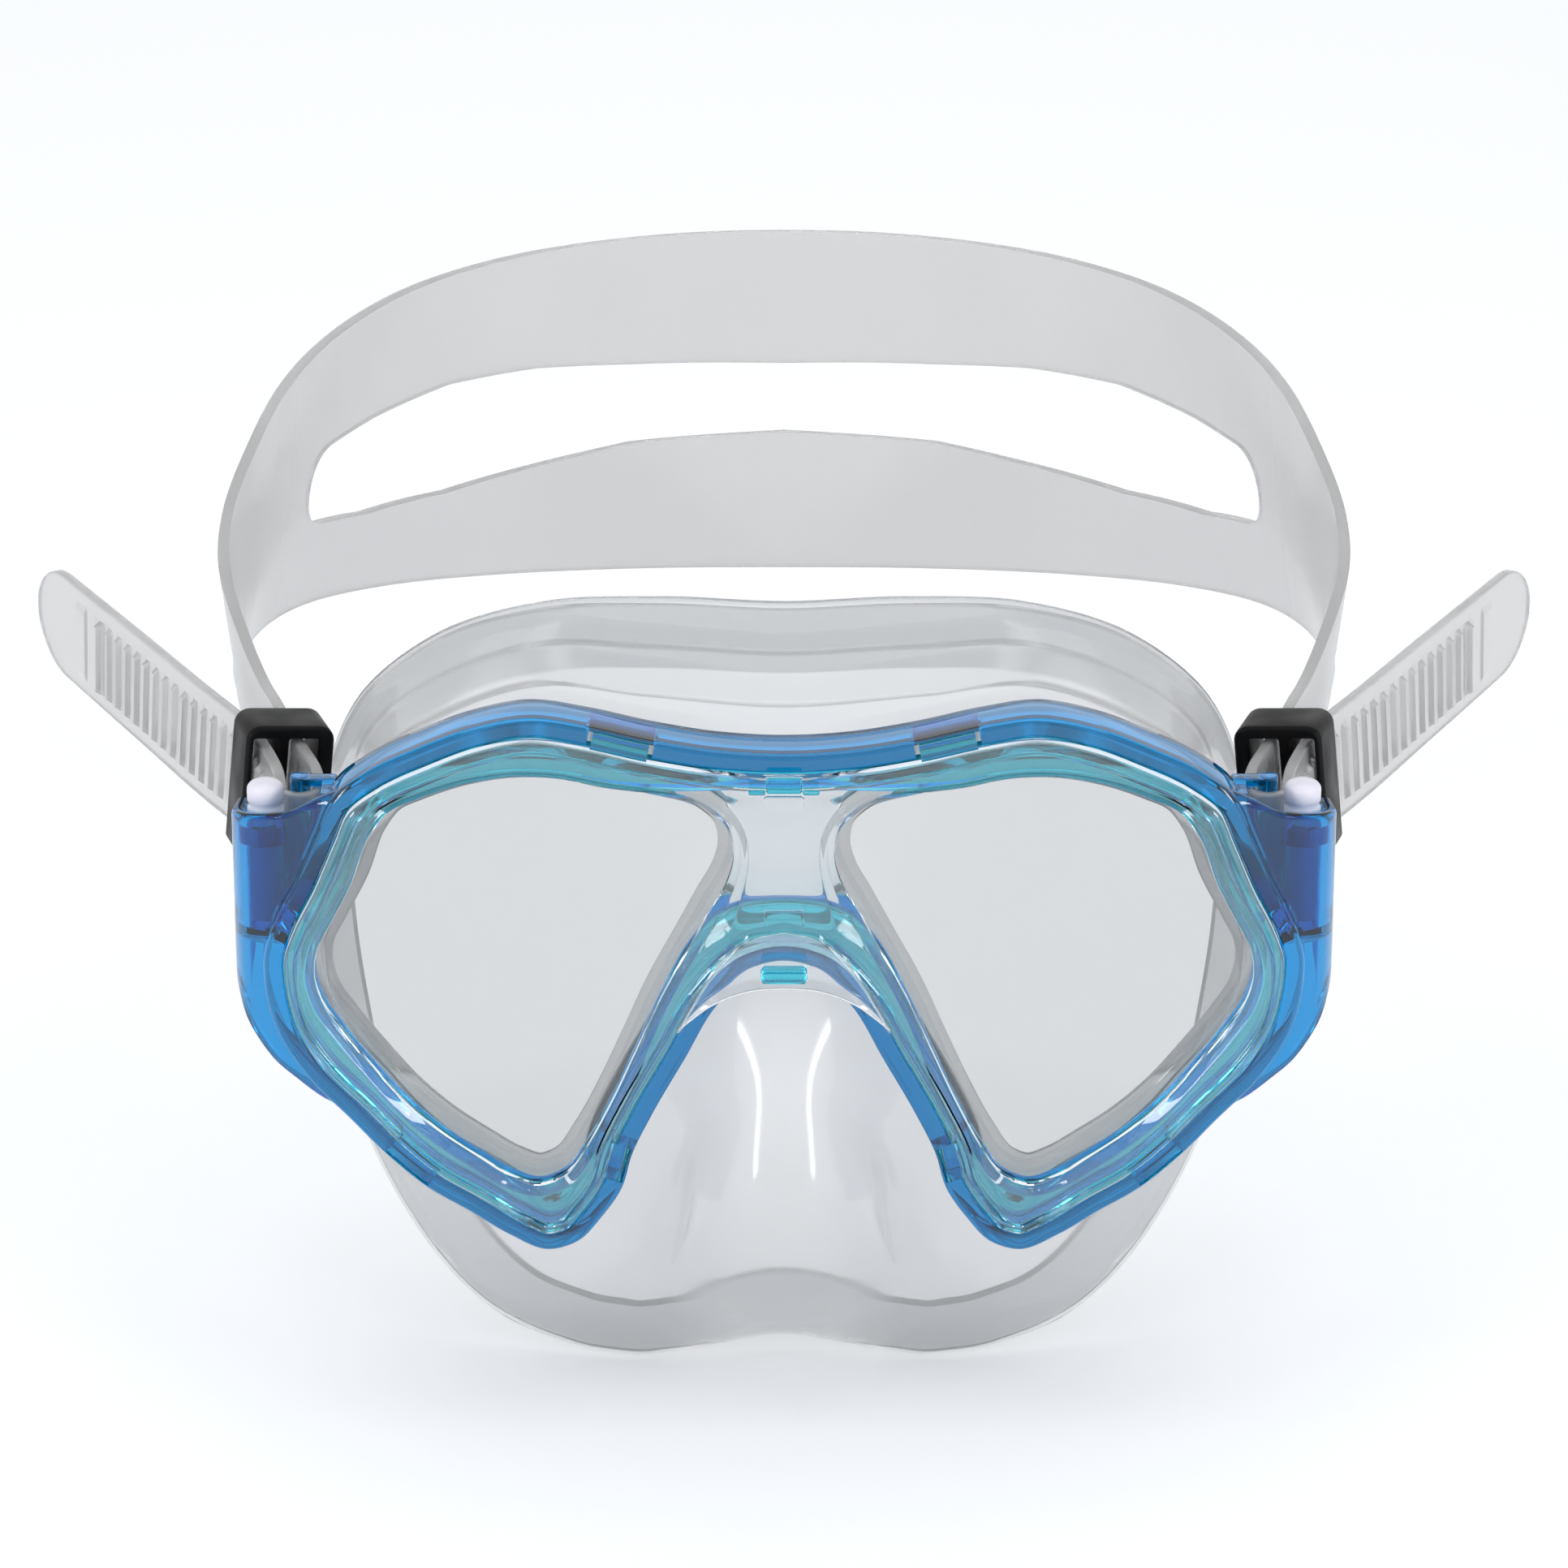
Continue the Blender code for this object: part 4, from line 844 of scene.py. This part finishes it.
def skirt(outline, window, silicone):
    """The clear skirt: its wall with two moulded steps across the brow, joined to the lens gasket."""
    grid, level, around = skirt_rows(360, 8)
    brow = np.clip(1.15 - around / 0.16, 0, 1)
    outwards = grid * (1, 0, 1)
    outwards /= np.linalg.norm(outwards, axis=-1)[..., None]
    for row, height in BROW_STEPS:
        past = level - row
        step = height * 0.5 * (1 + np.tanh(past / 0.09)) * np.exp(-np.clip(past, 0, None) / 0.9)
        grid = grid + outwards * (step[:, None] * brow)[..., None]
    made = surface("skirt_moulding", grid, False, True)
    wall = made.modifiers.new("wall", "SOLIDIFY")
    wall.thickness = SKIRT_WALL * MM
    wall.offset = 0
    applied(made)
    opening = inset(window, GASKET_REACH)
    edge = round_edge(GASKET_FRONT, GASKET_BACK, 0.3, 4)
    around_lenses = inset(outline, FRAME_RIM + GAP)
    gasket = plate("gasket", [(around_lenses, edge), (opening, edge), (opening * (-1, 1), edge)])
    combined(made, [gasket], sharp=50)
    return coated(made, silicone)


def ribbed(run, first, last):
    """1 on each rib and 0 between them, with steep flanks, from first to last along the strap."""
    phase = np.mod(run, RIB_PITCH)
    up = np.clip(phase / RIB_FLANK, 0, 1) * np.clip((RIB_WIDTH - phase) / RIB_FLANK, 0, 1)
    return np.where((run >= first) & (run <= last), up, 0.0)


def strap_end(name, silicone):
    """The ribbed end: a rounded section carried from the tip through the slider, round the post and back."""
    path_knots = np.array(STRAP_END, float)
    knots = lengths(path_knots[:, :2])
    a, b = path_knots[13], path_knots[14]
    end = knots[13] + (knots[14] - knots[13]) * (SEAM_Y - a[1]) / (b[1] - a[1])
    tip_run = HALF_HEIGHT - HALF_HEIGHT * np.cos(np.linspace(0.02, pi / 2, 16))
    run = np.concatenate([tip_run, np.arange(HALF_HEIGHT + 0.3, end, 0.17), [end]])
    path = spline(knots, path_knots, run)
    plan, middle, lean = path[:, :2], path[:, 2], path[:, 3]
    outside = -right_of(plan)
    reach = np.clip(HALF_HEIGHT - run, 0, None)
    height = np.sqrt(np.clip(HALF_HEIGHT**2 - reach**2, 0.02, None))
    half_t = np.minimum(STRAP_THICKNESS / 2, 0.25 + height * 0.35)
    first = knots[1] - 10.5
    bars = ribbed(run, first, knots[BEND_STARTS] + 1) + ribbed(run, knots[BEND_ENDS] - 1, end - 1)
    # Two raised plain panels stand near the tip.
    reaches = [PANEL_HALF_LENGTH - np.abs(run - panel) for panel in PANEL_MIDDLES]
    panels = sum(np.clip(reach / RIB_FLANK, 0, 1) for reach in reaches)
    raised = RIB_HEIGHT * bars + PANEL_HEIGHT * panels
    face = np.linspace(-1, 1, 25)
    rib_reach = np.clip((0.74 - np.abs(face)) / 0.04, 0, 1)
    # The section runs up the ribbed face, over the top, down the plain face and under. Its corners are
    # quarter circles, whose widths and heights turn from one face to the next.
    rounding = 0.5
    top = height - rounding * np.minimum(1, height / 2)
    corner = np.linspace(0, pi / 2, 5)[1:-1]
    turns = [(rounding * (1 - cos(c)), (height - top) * sin(c)) for c in corner]
    over = [(half_t - less, top + rise) for less, rise in turns]
    over += [(-half_t + less, top + rise) for less, rise in turns[::-1]]
    columns = [(half_t + reach * raised, w * top) for w, reach in zip(face, rib_reach)]
    columns += over
    columns += [(-half_t, w * top) for w in face[::-1]]
    columns += [(depth, -rise) for depth, rise in over[::-1]]
    grid = [
        np.column_stack([plan + outside * (depth + lean * rise)[:, None], middle + rise])
        for depth, rise in columns
    ]
    made = surface(name, np.stack(grid, axis=1), False, True, caps=True, sharp=50)
    return coated(made, silicone)


def strap_band(silicone):
    """The rear band: rows between its edges and the split's, which meet beyond the split's round ends."""
    lead = [(p[0], p[1], p[2], HALF_HEIGHT, -p[3]) for p in STRAP_END[13:17]]
    half = np.array(lead + STRAP_BAND)
    both = np.vstack([half, (half[:-1] * (-1, 1, 1, 1, 1))[::-1]])
    knots = lengths(both[:, :2])
    total = knots[-1]
    start = knots[1] * (SEAM_Y - half[0, 1]) / (half[1, 1] - half[0, 1])
    plain = np.linspace(start, total / 2, 260)
    x_there = spline(knots, both, plain)[:, 0]
    split_end = np.interp(-SPLIT_END_X, -x_there[130:], plain[130:])
    close = split_end + SPLIT_ROUND * (1 - np.cos(np.linspace(0, pi / 2, 16)))
    first_half = np.unique(np.concatenate([plain, close]))
    run = np.concatenate([first_half, total - first_half[-2::-1]])
    path = spline(knots, both, run)
    plan, middle, height, lean = path[:, :2], path[:, 2], path[:, 3], path[:, 4]
    table = np.array(SPLIT)[::-1]
    low = np.interp(np.abs(plan[:, 0]), table[:, 0], table[:, 1]) - middle
    high = np.interp(np.abs(plan[:, 0]), table[:, 0], table[:, 2]) - middle
    into = np.minimum(run, total - run) - split_end
    open_by = np.clip(1 - np.clip(1 - into / SPLIT_ROUND, 0, 1) ** SPLIT_POWER, 0, 1) ** (1 / SPLIT_POWER)
    centre = (low + high) / 2
    low, high = centre + (low - centre) * open_by, centre + (high - centre) * open_by
    fade = np.clip((into + 40) / 40, 0, 1)
    low, high = low * fade, high * fade
    up = np.linspace(0, 1, 13)[:, None]
    up = 0.5 - 0.5 * np.cos(pi * up)
    levels = np.vstack([-height + (low + height) * up, high + (height - high) * up]).T
    side = right_of(plan)
    grid = np.empty((*levels.shape, 3))
    grid[..., :2] = plan[:, None] + side[:, None] * (lean[:, None] * levels)[..., None]
    grid[..., 2] = middle[:, None] + levels
    keep = np.ones((len(run) - 1, levels.shape[1] - 1), bool)
    keep[:, len(up) - 1] = False
    faces = quads(*levels.shape, keep=keep).tolist()
    made = new_object("strap_rear_band", grid.reshape(-1, 3), faces)
    wall = made.modifiers.new("wall", "SOLIDIFY")
    wall.thickness = STRAP_THICKNESS * MM
    wall.offset = 0
    edge = made.modifiers.new("edge", "BEVEL")
    edge.width = 0.5 * MM
    edge.segments = 3
    edge.limit_method = "ANGLE"
    edge.angle_limit = radians(60)
    applied(made)
    smooth(made, 60)
    return coated(made, silicone)


# ---------------------------------------------------------------- studio

# FLOOR_HALF_WIDTH and FOCAL_LENGTH are in millimetres, CAMERA_ELEVATION in degrees and the rest in metres.
FLOOR_HALF_WIDTH, FLOOR_DROP = 9000, 0.0006
# The room's light by height: at the horizon, and from three quarters of the way up.
ROOM_SHADES = [(0.0, (0.93, 0.935, 0.94, 1)), (0.75, (0.56, 0.565, 0.57, 1))]
# Each lamp's place, the point it faces, its size and its watts.
LAMPS = {
    "box above": ((0, -0.1, 1.2), (0, 0, 0), (1.3, 0.9), 3.4),
    "strip left": ((-0.85, -0.85, 0.35), (0, -0.04, 0), (0.13, 1.0), 4.2),
    "strip right": ((0.85, -0.85, 0.35), (0, -0.04, 0), (0.13, 1.0), 4.2),
    "back wall glow": ((0, 1.3, 0.7), (0, 0, 0.03), (1.6, 0.8), 1.6),
}
FOCAL_LENGTH, CAMERA_ELEVATION, CAMERA_DISTANCE, CAMERA_TARGET = 140.7, 20, 0.9, Vector((0, -0.05, 0.031))


def area_light(name, place, towards, size, watts):
    """A white rectangular area light in metres and watts, turned towards a point."""
    light = bpy.data.lights.new(name, "AREA")
    light.shape, light.size, light.size_y = "RECTANGLE", size[0], size[1]
    light.energy = watts
    obj = bpy.data.objects.new(name, light)
    bpy.context.scene.collection.objects.link(obj)
    obj.location = place
    obj.rotation_euler = (Vector(towards) - Vector(place)).to_track_quat("-Z", "Z").to_euler()


def studio():
    """A pale floor, soft light all round, a soft box above and a tall strip at each side of the camera."""
    scene = bpy.context.scene
    scene.view_settings.view_transform = "Standard"
    scene.view_settings.look = "None"
    scene.cycles.max_bounces = 48
    scene.cycles.transmission_bounces = 48
    scene.cycles.transparent_max_bounces = 32
    scene.cycles.glossy_bounces = 8
    scene.cycles.diffuse_bounces = 3
    low, _ = cad_box
    far = FLOOR_HALF_WIDTH
    corners = np.array([[(-far, -far, 0), (far, -far, 0)], [(-far, far, 0), (far, far, 0)]], float)
    floor = surface("studio_floor", corners)
    floor.data.transform(Matrix.Translation((0, 0, low[2] - FLOOR_DROP)))
    sockets = {"Base Color": linear("#F4F6F9"), "Roughness": 0.9}
    sockets |= {"Emission Color": linear("#F8FAFD"), "Emission Strength": 0.2}
    coated(floor, material("pale seamless paper", sockets)[0])
    world = bpy.data.worlds.new("soft room")
    scene.world = world
    world.use_nodes = True
    tree = world.node_tree
    where = node(tree, "TexCoord", {})
    parts = node(tree, "SeparateXYZ", {"Vector": where.outputs["Generated"]})
    ramp = node(tree, "ValToRGB", {"Fac": parts.outputs["Z"]})
    for stop, (height, colour) in zip(ramp.color_ramp.elements, ROOM_SHADES):
        stop.position = height
        stop.color = colour
    tree.links.new(ramp.outputs["Color"], tree.nodes["Background"].inputs["Color"])
    for name, lamp in LAMPS.items():
        area_light(name, *lamp)
    lens_data = bpy.data.cameras.new("camera")
    lens_data.lens, lens_data.sensor_width = FOCAL_LENGTH, 36.0
    camera = bpy.data.objects.new("camera", lens_data)
    scene.collection.objects.link(camera)
    elevation, away = radians(CAMERA_ELEVATION), CAMERA_DISTANCE
    camera.location = CAMERA_TARGET + Vector((0, -away * cos(elevation), away * sin(elevation)))
    camera.rotation_euler = (pi / 2 - elevation, 0, 0)
    scene.camera = camera


# ---------------------------------------------------------------- assembly


def place(piece, body, slot, *nodes):
    """Rides the piece on its body and hides the nodes that it stands for. Its slot is not used."""
    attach(piece, body)
    if nodes:
        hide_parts(*nodes)


def build():
    """Every piece, on its body, but for the rear band, which is left without one. The right-hand loose
    pieces mirror the left-hand ones.
    """
    outline = closed_outline(whole(FRAME_HALF), 640)
    window = closed_outline(WINDOW, 320)
    inner = closed_outline(whole(RETAINER_TOP + WINDOW[:23] + RETAINER_NOSE), 520)
    blue, aqua, clear = blue_polycarbonate(), aqua_polycarbonate(), clear_polycarbonate()
    glass = tempered_glass()
    soft = clear_silicone("clear silicone skirt", "#E9EAEB", 0.16, 0.1)
    banded = clear_silicone("clear silicone strap", "#E4E4E4", 0.34, 0.22)
    white, black = white_acetal(), black_nylon()

    place(front_frame(outline, blue), "mask", "frame", "front_frame")
    place(lens_retainer(outline, inner, aqua), "mask", "retainer", "lens_retainer")
    place(clear_bezel(outline, window, clear), "mask", "bezel", "clear_bezel")
    for piece in catches(aqua):
        place(piece, "mask", "retainer")
    place(lens("lens_glass_left", window, glass), "mask", "lens", "lens_left")
    place(lens("lens_glass_right", window * (-1, 1), glass), "mask", "lens", "lens_right")
    place(skirt(outline, window, soft), "mask", "silicone", "skirt")
    left = {
        "strap_roller": (strap_roller("strap_pin_left", white), "roller", "roller"),
        "strap_slider": (strap_slider("strap_keeper_left", black), "slider", "slider"),
    }
    for cad, (piece, body, slot) in left.items():
        place(piece, f"{body}_left", slot, f"{cad}_left")
        place(mirrored(piece, piece.name.replace("_left", "_right")), f"{body}_right", slot, f"{cad}_right")
    tail = strap_end("strap_tail_left", banded)
    place(mirrored(tail, "strap_tail_right"), "mask", "silicone", "strap_end_right")
    place(tail, "mask", "silicone", "strap_end_left")
    band = strap_band(banded)
    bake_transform(band)
    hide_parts("strap_band")


build()
studio()
